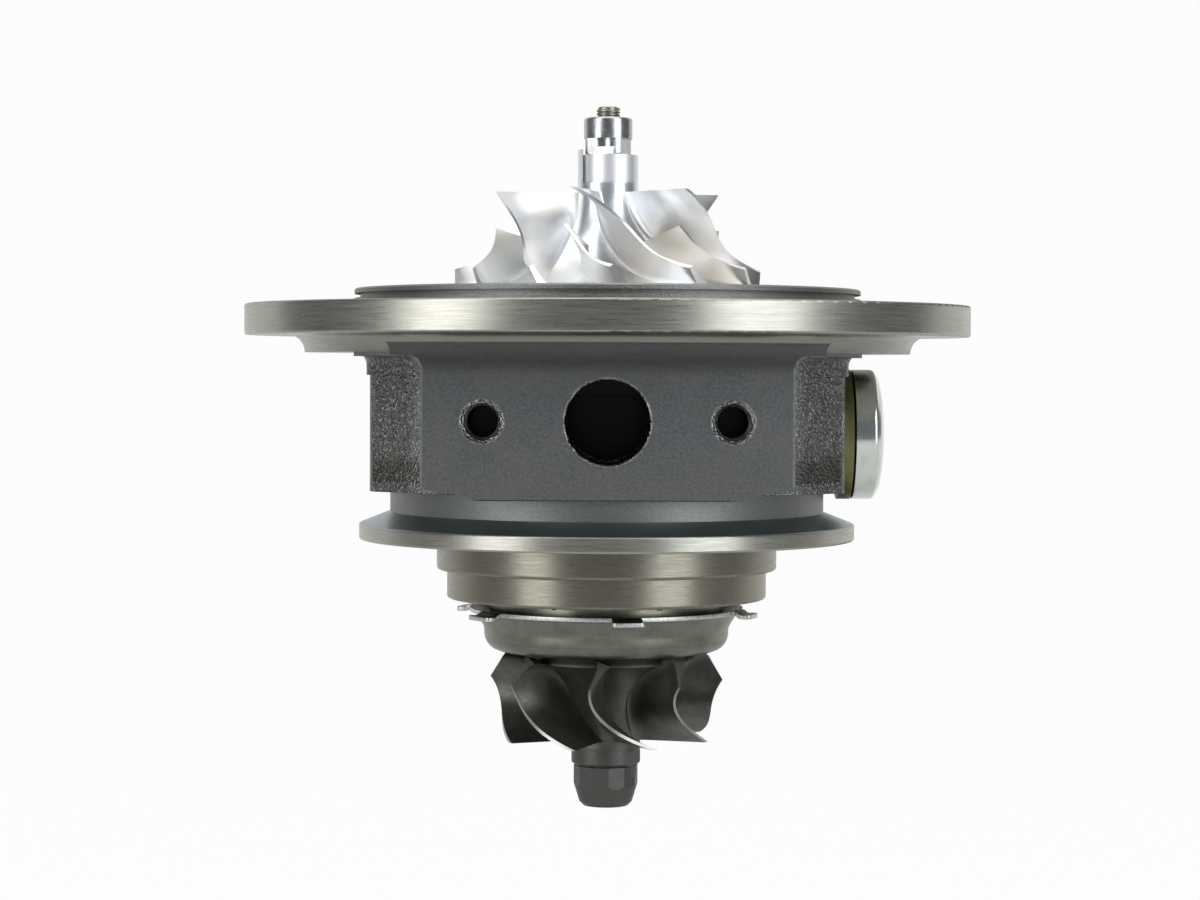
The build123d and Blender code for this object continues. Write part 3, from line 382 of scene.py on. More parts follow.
def pad_holes(g):
    """Masks of the walls, and of the worn mouths, of the three holes in the pad."""
    rise = g.math("SUBTRACT", g.z, PORT_HEIGHT)
    aside = g.math("SUBTRACT", g.math("ABSOLUTE", g.x), BOLT_PLACE)
    from_drain = g.distance(g.x, rise)
    from_bolt = g.distance(aside, rise)
    in_drain = g.ramp(from_drain, DRAIN_RADIUS + 0.02, DRAIN_RADIUS + 0.08, 1.0, 0.0)
    in_bolt = g.ramp(from_bolt, BOLT_RADIUS + 0.02, BOLT_RADIUS + 0.08, 1.0, 0.0)
    bore = g.both(g.either(in_drain, in_bolt), g.ramp(g.y, -8.0, -7.0, 1.0, 0.0))
    near_drain = g.between(from_drain, DRAIN_RADIUS, DRAIN_RADIUS + DRAIN_LIP)
    near_bolt = g.between(from_bolt, BOLT_RADIUS, BOLT_RADIUS + BOLT_LIP)
    at_front = g.between(g.y, PAD_FRONT - 0.1, PAD_FRONT + 0.8)
    return bore, g.both(g.either(near_drain, near_bolt), at_front)


def pad_burr_and_highlight(g, ragged):
    """The bright ragged line along the pad's upright edges and round their upper corners: a burr, partly
    painted highlight.
    """
    beyond = g.math("SUBTRACT", g.math("ABSOLUTE", g.x), PAD_HALF_WIDTH + PAD_CORNER)
    above = g.math("SUBTRACT", g.z, WEB_BOTTOM - PAD_CORNER)
    from_centre = g.distance(g.math("MINIMUM", beyond, 0.0), g.math("MAXIMUM", above, 0.0))
    from_edge = g.math("SUBTRACT", from_centre, PAD_CORNER)
    at_edge = g.both(g.between(from_edge, -0.05, 0.34, 0.06), g.between(g.z, BURR_AND_HIGHLIGHT_BOTTOM, WEB_BOTTOM, 0.4))
    on_side = g.ramp(g.y, PAD_FRONT + 0.05, PAD_FRONT + 0.25, 1.0, 0.0)
    return g.both(at_edge, on_side, g.ramp(ragged, 0.35, 0.6, 0.25, 1.0))


# %% [markdown]
# ## The finishes of the housing
# Each finish gets a function of its own. A turned face owes its look to long rings in the bump
# and the roughness, a ground pad to a fine grain, and a casting to pebbles that catch the light.
# The last function lays them over one another with the masks.

# %% Finishes of the housing


def turned_finish(g, where):
    """Rings round the axis, soft stains, a few dark pinholes, and painted shade under the flange."""
    turning = g.along_turning(1.5)
    rings = g.noise(turning, 6.0, 4.0, 0.7)
    bands = g.noise(turning, 1.1, 2.0, 0.5)
    stains = g.noise(g.mm, 0.07, 3.0, 0.6)
    pinholes = g.noise(g.mm, 2.4, 1.0, 0.5)
    colour = g.blend(g.ramp(stains, 0.35, 0.68), (0.385, 0.375, 0.328), (0.325, 0.328, 0.280))
    colour = g.blend(g.ramp(bands, 0.35, 0.7, 0.0, 0.4), colour, (0.42, 0.40, 0.345))
    colour = g.blend(g.ramp(pinholes, 0.76, 0.82, 0.0, 0.5), colour, (0.14, 0.12, 0.10))
    colour = g.blend(g.both(where["low steps"], 0.85), colour, (0.205, 0.190, 0.150))
    # painted shade under the flange, where the flange shadows the ring below it
    colour = g.blend(g.both(where["under flange"], 0.7), colour, (0.24, 0.23, 0.205))
    colour = g.blend(g.both(where["flange face"], 0.5), colour, (0.20, 0.195, 0.175))
    outer_face = g.both(where["flange face"], g.ramp(g.radius, 39.0, 40.0))
    rough = g.mix(outer_face, g.ramp(rings, 0.3, 0.7, 0.25, 0.37), 0.50)
    return colour, rough, rings


def matt_finish(g, boss, fine):
    """Neck and boss: turned too, but matt, with a fine grain; the boss is a little brighter."""
    grain = g.ramp(fine, 0.35, 0.65)
    neck_colour = g.blend(grain, (0.163, 0.172, 0.164), (0.232, 0.243, 0.233))
    boss_colour = g.blend(grain, (0.200, 0.200, 0.190), (0.285, 0.285, 0.270))
    return g.blend(boss, neck_colour, boss_colour)


def pad_finish(g):
    """The ground pad, with short level cutter marks and some shade near its top."""
    grain = g.noise(g.mm, 2.6, 4.0, 0.65)
    marks = g.noise(g.scaled(g.mm, (0.10, 0.10, 2.6)), 1.6, 3.0, 0.6)
    clouds = g.noise(g.mm, 0.12, 2.0, 0.5)
    glints = g.noise(g.mm, 5.0, 1.0, 0.5)
    colour = g.blend(g.ramp(grain, 0.35, 0.65), (0.163, 0.170, 0.172), (0.205, 0.212, 0.212))
    colour = g.blend(g.ramp(clouds, 0.4, 0.7, 0.0, 0.5), colour, (0.220, 0.216, 0.210))
    marked = g.both(g.ramp(marks, 0.4, 0.65), g.ramp(g.z, -12.0, -6.5))
    colour = g.blend(marked, colour, (0.19, 0.178, 0.168))
    colour = g.blend(g.ramp(g.z, -25.0, -19.0, 0.5, 0.0), colour, (0.195, 0.198, 0.180))
    top_shade = g.both(g.between(g.z, -9.6, -7.3, 1.2), 0.60)
    colour = g.blend(top_shade, colour, (0.075, 0.070, 0.066))
    colour = g.blend(g.ramp(glints, 0.74, 0.80, 0.0, 0.7), colour, (0.42, 0.42, 0.42))
    return colour, g.ramp(grain, 0.3, 0.7, 0.40, 0.52)


def cast_finish(g, fine):
    """Casting skin: rounded pebbles that glint, with painted glints on their tops and painted light by the
    pad; smoother and browner towards the bottom.
    """
    leaning = g.add("ShaderNodeVectorRotate", {"Vector": g.mm, "Angle": 0.6}, rotation_type="Y_AXIS")
    pebbles = g.noise(g.scaled(leaning.outputs[0], (1.25, 1.0, 0.8)), 2.5, 1.5, 0.5)
    low = g.both(g.ramp(g.z, -24.5, -18.5, 1.0, 0.0), g.ramp(g.z, -26.8, -25.2))
    # the pebbles' tops are painted lighter as painted glints, on top of the real glints from their bump
    colour = g.blend(g.ramp(pebbles, 0.48, 0.72), (0.088, 0.088, 0.087), (0.260, 0.262, 0.258))
    colour = g.blend(g.both(low, 0.7), colour, (0.115, 0.107, 0.091))
    # painted light in the hollow where the lug runs into the pad's side
    painted_light_beside_pad = g.ramp(g.math("ABSOLUTE", g.x), PAD_HALF_WIDTH, PAD_HALF_WIDTH + 3.2, 0.34, 0.0)
    colour = g.blend(painted_light_beside_pad, colour, (0.34, 0.35, 0.35))
    height = g.math("ADD", pebbles, g.math("MULTIPLY", fine, 0.12))
    height = g.both(height, g.ramp(low, 0.0, 1.0, 1.0, 0.3))
    return colour, g.ramp(fine, 0.3, 0.7, 0.17, 0.28), height


def housing_iron():
    g = Graph("housing_iron")
    g.places()
    fine = g.noise(g.mm, 5.5, 3.0, 0.6)
    ragged = g.noise(g.mm, 1.3, 3.0, 0.7)
    gritty = g.noise(g.mm, 2.9, 3.0, 0.6)
    where = housing_regions(g)
    pad, cast, boss = where["pad"], where["cast"], where["boss"]
    matt = g.either(where["neck"], boss)
    bore, mouth = pad_holes(g)
    burr_and_highlight = pad_burr_and_highlight(g, ragged)
    turned_colour, turned_rough, rings = turned_finish(g, where)
    pad_colour, pad_rough = pad_finish(g)
    cast_colour, cast_rough, pebbles = cast_finish(g, fine)

    colour = g.blend(matt, turned_colour, matt_finish(g, boss, fine))
    colour = g.blend(where["cone"], colour, (0.33, 0.385, 0.395))
    colour = g.blend(pad, colour, pad_colour)
    # painted shadow: a thin dark line along the foot of the drain pad
    colour = g.blend(g.both(where["painted shadow under pad"], 0.8), colour, (0.035, 0.035, 0.034))
    colour = g.blend(cast, colour, cast_colour)
    worn_mouth = g.both(mouth, g.ramp(ragged, 0.35, 0.62, 0.25, 1.0))
    colour = g.blend(worn_mouth, colour, (0.46, 0.46, 0.45))
    # the burred edges of the pad are painted bright, partly as a painted highlight
    colour = g.blend(burr_and_highlight, colour, (0.50, 0.50, 0.49))
    # painted shade inside the three holes: their walls are painted nearly black
    colour = g.blend(bore, colour, (0.030, 0.029, 0.028))

    rough = g.mix(matt, turned_rough, 0.46)
    rough = g.mix(where["cone"], rough, 0.36)
    rough = g.mix(pad, rough, pad_rough)
    rough = g.mix(cast, rough, cast_rough)
    rough = g.mix(g.either(mouth, burr_and_highlight), rough, 0.30)

    turned = g.outside(g.either(cast, g.either(pad, bore)))
    boss_side = g.both(boss, g.ramp(g.radius, 33.0, 34.0))
    normal = g.bump(g.both(rings, turned), 0.003)
    normal = g.bump(g.both(fine, g.either(pad, matt)), 0.010, normal)
    normal = g.bump(g.both(gritty, boss_side), 0.09, normal)
    normal = g.bump(g.both(pebbles, cast, g.outside(bore)), 0.40, normal)
    return g.finish(base_color=colour, metallic=1.0, roughness=rough, normal=normal)


# %% [markdown]
# ## Bright aluminium and the plain metals
# The compressor wheel is milled from the solid and left bright, with faint cutter lines. Its nose
# is paler and less glossy. The small metals share one recipe: two tones in soft patches, with fine
# scratches in the gloss.

# %% Aluminium and plain metals
NOSE_FOOT = 18.0


def patchy(g, colour, other, scale=0.35):
    """Two tones of one metal in soft patches."""
    return g.blend(g.ramp(g.noise(g.mm, scale, 3.0, 0.6), 0.35, 0.7), colour, other)


def milled_aluminium():
    """Bright aluminium with faint cutter lines and a paler, less glossy nose."""
    g = Graph("compressor_aluminium")
    g.places()
    cutter = g.noise(g.along_turning(0.6), 7.0, 3.0, 0.6)
    cloud = g.noise(g.mm, 0.09, 2.0, 0.5)
    specks = g.noise(g.mm, 3.0, 1.0, 0.5)
    colour = g.blend(g.ramp(cloud, 0.3, 0.7), (0.79, 0.815, 0.84), (0.83, 0.80, 0.75))
    colour = g.blend(g.ramp(specks, 0.78, 0.84, 0.0, 0.4), colour, (0.45, 0.44, 0.42))
    rough = g.ramp(cutter, 0.3, 0.7, 0.28, 0.36)
    nose = g.ramp(g.z, NOSE_FOOT, NOSE_FOOT + 0.8)
    colour = g.blend(nose, colour, (0.90, 0.905, 0.91))
    rough = g.mix(nose, rough, 0.46)
    return g.finish(base_color=colour, metallic=1.0, roughness=rough, normal=g.bump(cutter, 0.0015))


def plain_metal(name, colour, darker, rough, depth=0.004, scale=3.0):
    """A worn metal: two tones in soft patches, with fine scratches in the roughness."""
    g = Graph(name)
    g.places()
    tone = patchy(g, colour, darker)
    scratch = g.noise(g.mm, scale, 4.0, 0.65)
    roughness = g.ramp(scratch, 0.3, 0.7, rough * 0.8, rough * 1.25)
    return g.finish(base_color=tone, metallic=1.0, roughness=roughness, normal=g.bump(scratch, depth))


# %% [markdown]
# ## The turbine wheel's alloy
# The turbine wheel is a dark casting in nickel alloy. Painted shade lies behind its blades, on the disc,
# and the blade tips are ground bright. A face belongs to a tip where it looks straight out from the
# axis, which the dot product of its normal and the outward direction tells.

# %% Turbine alloy
TURBINE_DISC = -53.2
TURBINE_NOSE = -66.3


def turbine_alloy():
    """A dark casting, with painted shade near its disc, and ground tips."""
    g = Graph("turbine_alloy")
    g.places()
    grain = g.noise(g.mm, 2.6, 4.0, 0.65)
    colour = patchy(g, (0.108, 0.108, 0.097), (0.158, 0.154, 0.138), 0.3)
    shade_by_disc = g.ramp(g.z, TURBINE_DISC - 0.4, TURBINE_DISC + 0.4)
    # painted shade behind the blades, on the disc face inside radius 13.3
    colour = g.blend(g.both(shade_by_disc, g.ramp(g.radius, 13.0, 13.6, 1.0, 0.0)), colour, (0.022, 0.022, 0.020))
    nose = g.ramp(g.z, TURBINE_NOSE - 0.3, TURBINE_NOSE + 0.3, 1.0, 0.0)
    colour = g.blend(nose, colour, (0.100, 0.102, 0.092))

    facing = g.add("ShaderNodeTexCoord").outputs["Normal"]
    level = g.scaled(g.mm, (1, 1, 0))
    outward = g.add("ShaderNodeVectorMath", {0: level}, operation="NORMALIZE").outputs[0]
    match = g.add("ShaderNodeVectorMath", {0: facing, 1: outward}, operation="DOT_PRODUCT")
    tip = g.both(g.ramp(match.outputs["Value"], 0.80, 0.92), g.ramp(g.radius, 13.5, 14.5))
    colour = g.blend(tip, colour, (0.36, 0.35, 0.325))
    rough = g.mix(tip, g.ramp(grain, 0.3, 0.7, 0.40, 0.55), 0.30)
    return g.finish(base_color=colour, metallic=0.9, roughness=rough, normal=g.bump(grain, 0.010))


# %% [markdown]
# ## Sheet, plating and rubber
# The heat shroud is pressed stainless sheet that heat has turned olive, while its sheared edges
# stayed bright. The coolant plug is plated, with painted shade in the groove behind its head.
# The o-ring behind the compressor wheel is black rubber.

# %% Sheet, plating and rubber
COOLANT_HEIGHT = -19.2
PORT_FACE = 34.6
WASHER = 1.9
PLUG_SEAT = PORT_FACE + WASHER
PLUG_RADIUS = 9.75
PLUG_GROOVE_WIDTH = 0.32


def shroud_steel():
    """Stainless sheet, olive from heat, with its sheared edges left bright."""
    g = Graph("shroud_steel")
    g.places()
    grain = g.noise(g.mm, 2.2, 4.0, 0.65)
    colour = patchy(g, (0.215, 0.21, 0.175), (0.165, 0.16, 0.132))
    # painted shade along a faint crease round the cup
    crease = g.between(g.z, -50.15, -49.95, 0.06)
    colour = g.blend(g.both(crease, 0.25), colour, (0.10, 0.095, 0.08))
    facing = g.add("ShaderNodeSeparateXYZ", {0: g.add("ShaderNodeTexCoord").outputs["Normal"]}).outputs
    upright = g.ramp(g.math("ABSOLUTE", facing[2]), 0.25, 0.45, 1.0, 0.0)
    edge = g.both(upright, g.ramp(g.radius, 20.25, 20.45), g.ramp(grain, 0.35, 0.55, 0.55, 1.0))
    colour = g.blend(edge, colour, (0.62, 0.62, 0.60))
    rough = g.mix(edge, g.ramp(grain, 0.3, 0.7, 0.30, 0.42), 0.42)
    return g.finish(base_color=colour, metallic=1.0, roughness=rough, normal=g.bump(grain, 0.008))


def plated_steel():
    """Bright plating, with painted shade in the groove behind the head."""
    g = Graph("plated_steel")
    g.places()
    tone = patchy(g, (0.74, 0.77, 0.73), (0.62, 0.65, 0.61))
    from_axis = g.distance(g.y, g.math("SUBTRACT", g.z, COOLANT_HEIGHT))
    # painted shade: the groove between the head and the washer is painted nearly black
    in_groove = g.between(g.x, PLUG_SEAT - 0.02, PLUG_SEAT + PLUG_GROOVE_WIDTH, 0.01)
    shade_in_groove = g.both(in_groove, g.ramp(from_axis, PLUG_RADIUS - 0.12, PLUG_RADIUS - 0.04, 1.0, 0.0))
    tone = g.blend(shade_in_groove, tone, (0.012, 0.012, 0.010))
    rough = g.ramp(g.noise(g.mm, 3.0, 4.0, 0.65), 0.3, 0.7, 0.14, 0.21)
    rough = g.mix(shade_in_groove, rough, 0.7)
    return g.finish(base_color=tone, metallic=1.0, roughness=rough)


def seal_rubber():
    """Black rubber with a faint grain, the only finish that isn't a metal."""
    g = Graph("seal_rubber")
    g.places()
    grain = g.noise(g.mm, 4.0, 2.0, 0.5)
    colour = g.blend(grain, (0.010, 0.010, 0.010), (0.022, 0.022, 0.022))
    return g.finish(base_color=colour, metallic=0.0, roughness=0.55, normal=g.bump(grain, 0.005))


# %% [markdown]
# ## Handing out the finishes
# A plain metal is a line in a table: its two tones, its roughness and, where they differ from the
# usual ones, the depth and scale of its scratches. The record says which finish each piece of the
# construction takes, so a loop can hand them out, and it marks the faces as smooth on the way.

# %% Handing out the finishes
PLAIN_METALS = {
    "plate_aluminium": ((0.62, 0.62, 0.62), (0.52, 0.52, 0.51), 0.32),
    "spring_steel": ((0.20, 0.20, 0.21), (0.14, 0.14, 0.14), 0.35),
    "bearing_bronze": ((0.62, 0.42, 0.20), (0.50, 0.33, 0.15), 0.30),
    "ground_steel": ((0.55, 0.55, 0.56), (0.46, 0.46, 0.47), 0.22),
    "pressed_steel": ((0.45, 0.45, 0.46), (0.38, 0.38, 0.38), 0.34),
    "ring_iron": ((0.22, 0.22, 0.22), (0.16, 0.16, 0.16), 0.38),
    "nut_steel": ((0.50, 0.51, 0.51), (0.41, 0.415, 0.395), 0.27, 0.0, 0.5),
    "thread_iron": ((0.30, 0.295, 0.285), (0.20, 0.19, 0.18), 0.34, 0.006),
    "washer_brass": ((0.225, 0.215, 0.095), (0.15, 0.145, 0.06), 0.44),
    "shaft_steel": ((0.36, 0.345, 0.28), (0.26, 0.245, 0.19), 0.40),
}

finishes = {name: plain_metal(name, *recipe) for name, recipe in PLAIN_METALS.items()}
finishes.update(
    housing_iron=housing_iron(),
    compressor_aluminium=milled_aluminium(),
    turbine_alloy=turbine_alloy(),
    shroud_steel=shroud_steel(),
    plated_steel=plated_steel(),
    seal_rubber=seal_rubber(),
)
slots = {entry["node"]: entry["material_slot"] for entry in frame["record"]["subparts"]}
for name, node in nodes.items():
    node.data.materials.clear()
    node.data.materials.append(finishes[slots[name]])
    for polygon in node.data.polygons:
        polygon.use_smooth = True
print("finishes:", len(finishes))

# %% [markdown]
# ## Helpers for the new pieces
# Most of the finer pieces are turned, so each starts as one half of its section: a line of points,
# with arcs at its corners, which the spin operator carries once round the shaft axis. A thread is
# the same idea with a small drop at every step, so that the section winds down as a helix: to the
# left on the way down for a right-handed screw, seen from the front, and else to the right.

# %% Helpers for the new pieces


def rounded(corners, radii, steps=6):
    """The line through the corners, in mm, with an arc at each inner corner."""
    line = [Vector(corners[0])]
    for before, corner, after, radius in zip(corners, corners[1:], corners[2:], radii):
        corner = Vector(corner)
        if radius == 0:
            line.append(corner)
            continue
        back = (Vector(before) - corner).normalized()
        onward = (Vector(after) - corner).normalized()
        half = back.angle(onward) / 2
        middle = corner + (back + onward).normalized() * radius / sin(half)
        first = corner + back * radius / tan(half) - middle
        last = corner + onward * radius / tan(half) - middle
        line.extend(middle + first.slerp(last, step / steps) * radius for step in range(steps + 1))
    line.append(Vector(corners[-1]))
    return line


def section_loop(line, closed):
    """A new mesh with the section's points and edges, standing in the plane y = 0."""
    mesh = bmesh.new()
    points = [mesh.verts.new((radius * MM, 0, height * MM)) for radius, height in line]
    ends = points[1:] + points[:1] if closed else points[1:]
    edges = [mesh.edges.new(pair) for pair in zip(points, ends)]
    return mesh, points + edges


def spun(line, closed=False, steps=144):
    """Carries a (radius, height) section once round the shaft axis."""
    mesh, section = section_loop(line, closed)
    bmesh.ops.spin(
        mesh, geom=section, cent=(0, 0, 0), axis=(0, 0, 1), angle=2 * pi, steps=steps, use_merge=True
    )
    bmesh.ops.remove_doubles(mesh, verts=mesh.verts, dist=0.0005 * MM)
    bmesh.ops.recalc_face_normals(mesh, faces=mesh.faces)
    return mesh


def thread_ridge(root, crest, top, pitch, turns, steps=36, left_handed=False):
    """One ridge of a screw thread, wound downwards from its top; root and crest are radii."""
    flank = 0.46 * pitch
    tip = 0.14 * pitch
    line = ((root, top), (crest, top - flank + tip), (crest, top - flank - tip), (root, top - 2 * flank))
    mesh, section = section_loop(line, True)
    drop = (0, 0, -pitch / steps * MM)
    winding = 2 * pi * turns if left_handed else -2 * pi * turns
    bmesh.ops.spin(
        mesh, geom=section, cent=(0, 0, 0), axis=(0, 0, 1), dvec=drop,
        angle=winding, steps=round(steps * turns))
    bmesh.ops.holes_fill(mesh, edges=mesh.edges, sides=4)
    bmesh.ops.recalc_face_normals(mesh, faces=mesh.faces)
    return mesh


def joined(first, second):
    """Adds the second mesh's shells to the first one."""
    spare = bpy.data.meshes.new("spare")
    second.to_mesh(spare)
    second.free()
    first.from_mesh(spare)
    bpy.data.meshes.remove(spare)
    return first


def new_piece(mesh, name, finish, body, replaced=None, sharp=35):
    """Turns a finished mesh into an object that rides with its body."""
    data = bpy.data.meshes.new(name)
    mesh.to_mesh(data)
    mesh.free()
    data.shade_smooth()
    data.set_sharp_from_angle(angle=radians(sharp))
    data.materials.append(finishes[finish])
    piece = bpy.data.objects.new(name, data)
    bpy.context.scene.collection.objects.link(piece)
    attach(piece, body)
    if replaced:
        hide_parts(replaced)
    print(name, "has", len(data.polygons), "faces")
    return piece


# %% [markdown]
# ## The heat shroud
# A press draws this thin cup from stainless sheet and bends six tabs down from its rim. The middle
# of the sheet is spun first. Each tab then grows from the rim's own edges, pushed out and down
# along a soft bend, and its corners are rounded. Solidify gives the whole sheet its thickness.

# %% Heat shroud
SHEET = 0.65
SHROUD_RADIUS = 18.35
SHROUD_FLOOR = -51.8
SHROUD_HOLE = 9.8
SHROUD_BEND = -48.2
SHROUD_MOUTH = 19.7
SHROUD_FLANGE = 20.6
SHROUD_TOP = -45.3
SHROUD_CORNERS = (2.2, 2.2, 0.9)
TAB_TURNS = (-107.0, -55.2, 7.4, 71.7, 128.0, 187.0)
TAB_HALF_ANGLE = 6.4
TAB_REACH = 23.2
TAB_DROP = 0.5
TAB_BEND = 0.6
TAB_CORNER = 0.6


def heat_shroud():
    wall = SHROUD_RADIUS - SHEET / 2
    low = SHROUD_FLOOR + SHEET / 2
    top = SHROUD_TOP - SHEET / 2
    mouth = (SHROUD_MOUTH, top)
    cup = ((SHROUD_HOLE, low), (wall, low), (wall + 0.1, SHROUD_BEND), mouth, (SHROUD_FLANGE, top))
    mesh = spun(rounded(cup, SHROUD_CORNERS), steps=180)
    shoulder = (SHROUD_FLANGE + 0.3, 0)
    bend = ((SHROUD_FLANGE, 0), shoulder, (SHROUD_FLANGE + 1.0, -TAB_DROP), (TAB_REACH, -TAB_DROP))
    path = rounded(bend, (TAB_BEND, TAB_BEND), steps=3)
    for turn in TAB_TURNS:
        row = []
        for edge in mesh.edges:
            middle = (edge.verts[0].co + edge.verts[1].co) / 2
            turned_by = (degrees(atan2(middle.x, -middle.y)) - turn + 180) % 360 - 180
            on_rim = edge.is_boundary and middle.xy.length > (SHROUD_FLANGE - 0.1) * MM
            if on_rim and abs(turned_by) < TAB_HALF_ANGLE:
                row.append(edge)
        for (before, last_drop), (reach, drop) in zip(path, path[1:]):
            row = pulled(mesh, row, (0, 0, (drop - last_drop) * MM))
            bmesh.ops.scale(mesh, verts=ends_of(row), vec=(reach / before, reach / before, 1))
        corners = [point for point in ends_of(row) if len(point.link_edges) == 2]
        bmesh.ops.bevel(
            mesh, geom=corners, offset=TAB_CORNER * MM, segments=4, profile=0.5, affect="VERTICES",
            material=-1)
    bmesh.ops.recalc_face_normals(mesh, faces=mesh.faces)
    piece = new_piece(mesh, "pressed_heat_shroud", "shroud_steel", "housing", "heat_shroud", sharp=60)
    sheet = piece.modifiers.new("sheet thickness", "SOLIDIFY")
    sheet.thickness = SHEET * MM
    sheet.offset = 0.0
    sheet.use_even_offset = True
    edge = piece.modifiers.new("worn sheet edge", "BEVEL")
    edge.width = 0.05 * MM
    edge.segments = 2
    edge.limit_method = "ANGLE"
    edge.angle_limit = radians(50)


heat_shroud()

# %% [markdown]
# ## The shaft and its thread
# The shaft is one ground rod with two journals and the large seal boss at its lower end. Only the
# threaded tip shows. The rod is spun from its section, and the thread is a ridge wound round it.
# It is left-handed, because in the photograph its ridges fall towards the right.

# %% Shaft
SEAL_BOSS = 6.6
SEAL_GROOVE = 5.38
JOURNAL = 3.3
WAIST = 2.9
STUB = 2.2
SHAFT_FOOT = -52.2
SHAFT_END = 29.85
THREAD_PITCH = 0.5
THREAD_CREST = 1.78
THREAD_ROOT = 1.57
THREAD_TURNS = 7.6
shaft_outline = (
    (0, SHAFT_FOOT), (SEAL_BOSS, SHAFT_FOOT), (SEAL_BOSS, -48.65), (SEAL_GROOVE, -48.65),
    (SEAL_GROOVE, -47.55), (SEAL_BOSS, -47.55), (SEAL_BOSS, -43.6), (JOURNAL, -41.4), (JOURNAL, -30.3),
    (WAIST, -29.9), (WAIST, -23.1), (JOURNAL, -22.7), (JOURNAL, -12.4), (STUB, -12.4), (STUB, 22.0),
    (THREAD_ROOT, 22.6), (THREAD_ROOT, SHAFT_END - 0.15), (THREAD_ROOT - 0.2, SHAFT_END), (0, SHAFT_END),
)

shaft_mesh = spun(shaft_outline, steps=96)
shaft_thread = thread_ridge(
    THREAD_ROOT - 0.03, THREAD_CREST, SHAFT_END - 0.08, THREAD_PITCH, THREAD_TURNS, steps=48,
    left_handed=True)
new_piece(joined(shaft_mesh, shaft_thread), "threaded_shaft", "shaft_steel", "rotor", "shaft")

# %% [markdown]
# ## The shaft nut
# The nut has a round collar, which is ground when the rotor is balanced, over flats for the
# wrench. The flats are made by pressing the points of a round bar back to four planes. A Boolean
# modifier then cuts the small hollow that the balancing wheel left in the front flat.

# %% Shaft nut
NUT_RADIUS = 3.64
NUT_FOOT = 22.55
NUT_WAIST = 25.05
NUT_TOP = 28.2
NUT_HOLE = 1.86
FLAT_REACH = 2.85
FLAT_TURN = -20.0
NOTCH_HEIGHT = 1.30
NOTCH_RADIUS = 2.3
NOTCH_DEPTH = 0.68
NOTCH_TURN = -13.5


def toward(angle):
    """A level direction, counted in degrees from the front towards the right."""
    return Vector((sin(radians(angle)), -cos(radians(angle)), 0))


def shaft_nut():
    outline = (
        (NUT_HOLE, NUT_FOOT), (NUT_RADIUS - 0.25, NUT_FOOT), (NUT_RADIUS, NUT_FOOT + 0.25),
        (NUT_RADIUS, NUT_WAIST - 0.02), (NUT_RADIUS, NUT_WAIST), (NUT_RADIUS, NUT_TOP), (2.3, NUT_TOP),
        (NUT_HOLE, NUT_TOP - 0.4), (NUT_HOLE, NUT_FOOT),
    )
    mesh = spun(rounded(outline, (0, 0, 0, 0, 0.42, 0.2, 0), 5), steps=160)
    for point in mesh.verts:
        if point.co.z > (NUT_WAIST - 0.01) * MM:
            continue
        for quarter in range(4):
            normal = toward(FLAT_TURN + 90 * quarter)
            beyond = point.co.dot(normal) - FLAT_REACH * MM
            if beyond > 0:
                point.co -= normal * beyond
    piece = new_piece(
        mesh, "balanced_shaft_nut", "nut_steel", "rotor", "shaft_nut", sharp=30)

    cutter_mesh = bmesh.new()
    middle = (NUT_WAIST - NOTCH_HEIGHT / 2) * MM
    centre = toward(NOTCH_TURN) * (FLAT_REACH + NOTCH_RADIUS - NOTCH_DEPTH) * MM
    bmesh.ops.create_cone(
        cutter_mesh, cap_ends=True, segments=64, radius1=NOTCH_RADIUS * MM, radius2=NOTCH_RADIUS * MM,
        depth=NOTCH_HEIGHT * MM, matrix=Matrix.Translation(centre + Vector((0, 0, middle))))
    cutter_data = bpy.data.meshes.new("notch_cutter")
    cutter_mesh.to_mesh(cutter_data)
    cutter_mesh.free()
    cutter = bpy.data.objects.new("notch_cutter", cutter_data)
    bpy.context.scene.collection.objects.link(cutter)
    notch = piece.modifiers.new("balance notch", "BOOLEAN")
    notch.operation = "DIFFERENCE"
    notch.object = cutter
    notch.solver = "EXACT"
    bpy.context.view_layer.update()
    cut_data = bpy.data.meshes.new_from_object(piece.evaluated_get(bpy.context.evaluated_depsgraph_get()))
    piece.modifiers.remove(notch)
    piece.data = cut_data
    cut_data.set_sharp_from_angle(angle=radians(30))
    bpy.data.objects.remove(cutter)


shaft_nut()

# %% [markdown]
# ## The coolant plug
# A plated plug closes the right coolant port. Its head has a soft rim, a hexagon socket and a
# small groove against the washer that shows as a black line. The section is spun upright and then
# laid along the X axis. The socket is a ring of faces, bridged from a circle to a hexagon.

# %% Coolant plug
PLUG_SHANK = 6.1
PLUG_GROOVE = 9.3
PLUG_SHANK_LENGTH = 10.0
SHANK_CHAMFER = 0.6
HEAD_EDGE = 3.35
HEAD_SHOULDER = (8.55, HEAD_EDGE + 0.85)
HEAD_LENGTH = 4.65
HEAD_CROWN = (6.3, HEAD_LENGTH)
SOCKET_MOUTH = 5.6
SOCKET_DIP = 0.2
SOCKET_REACH = 4.62
SOCKET_DEPTH = 4.0


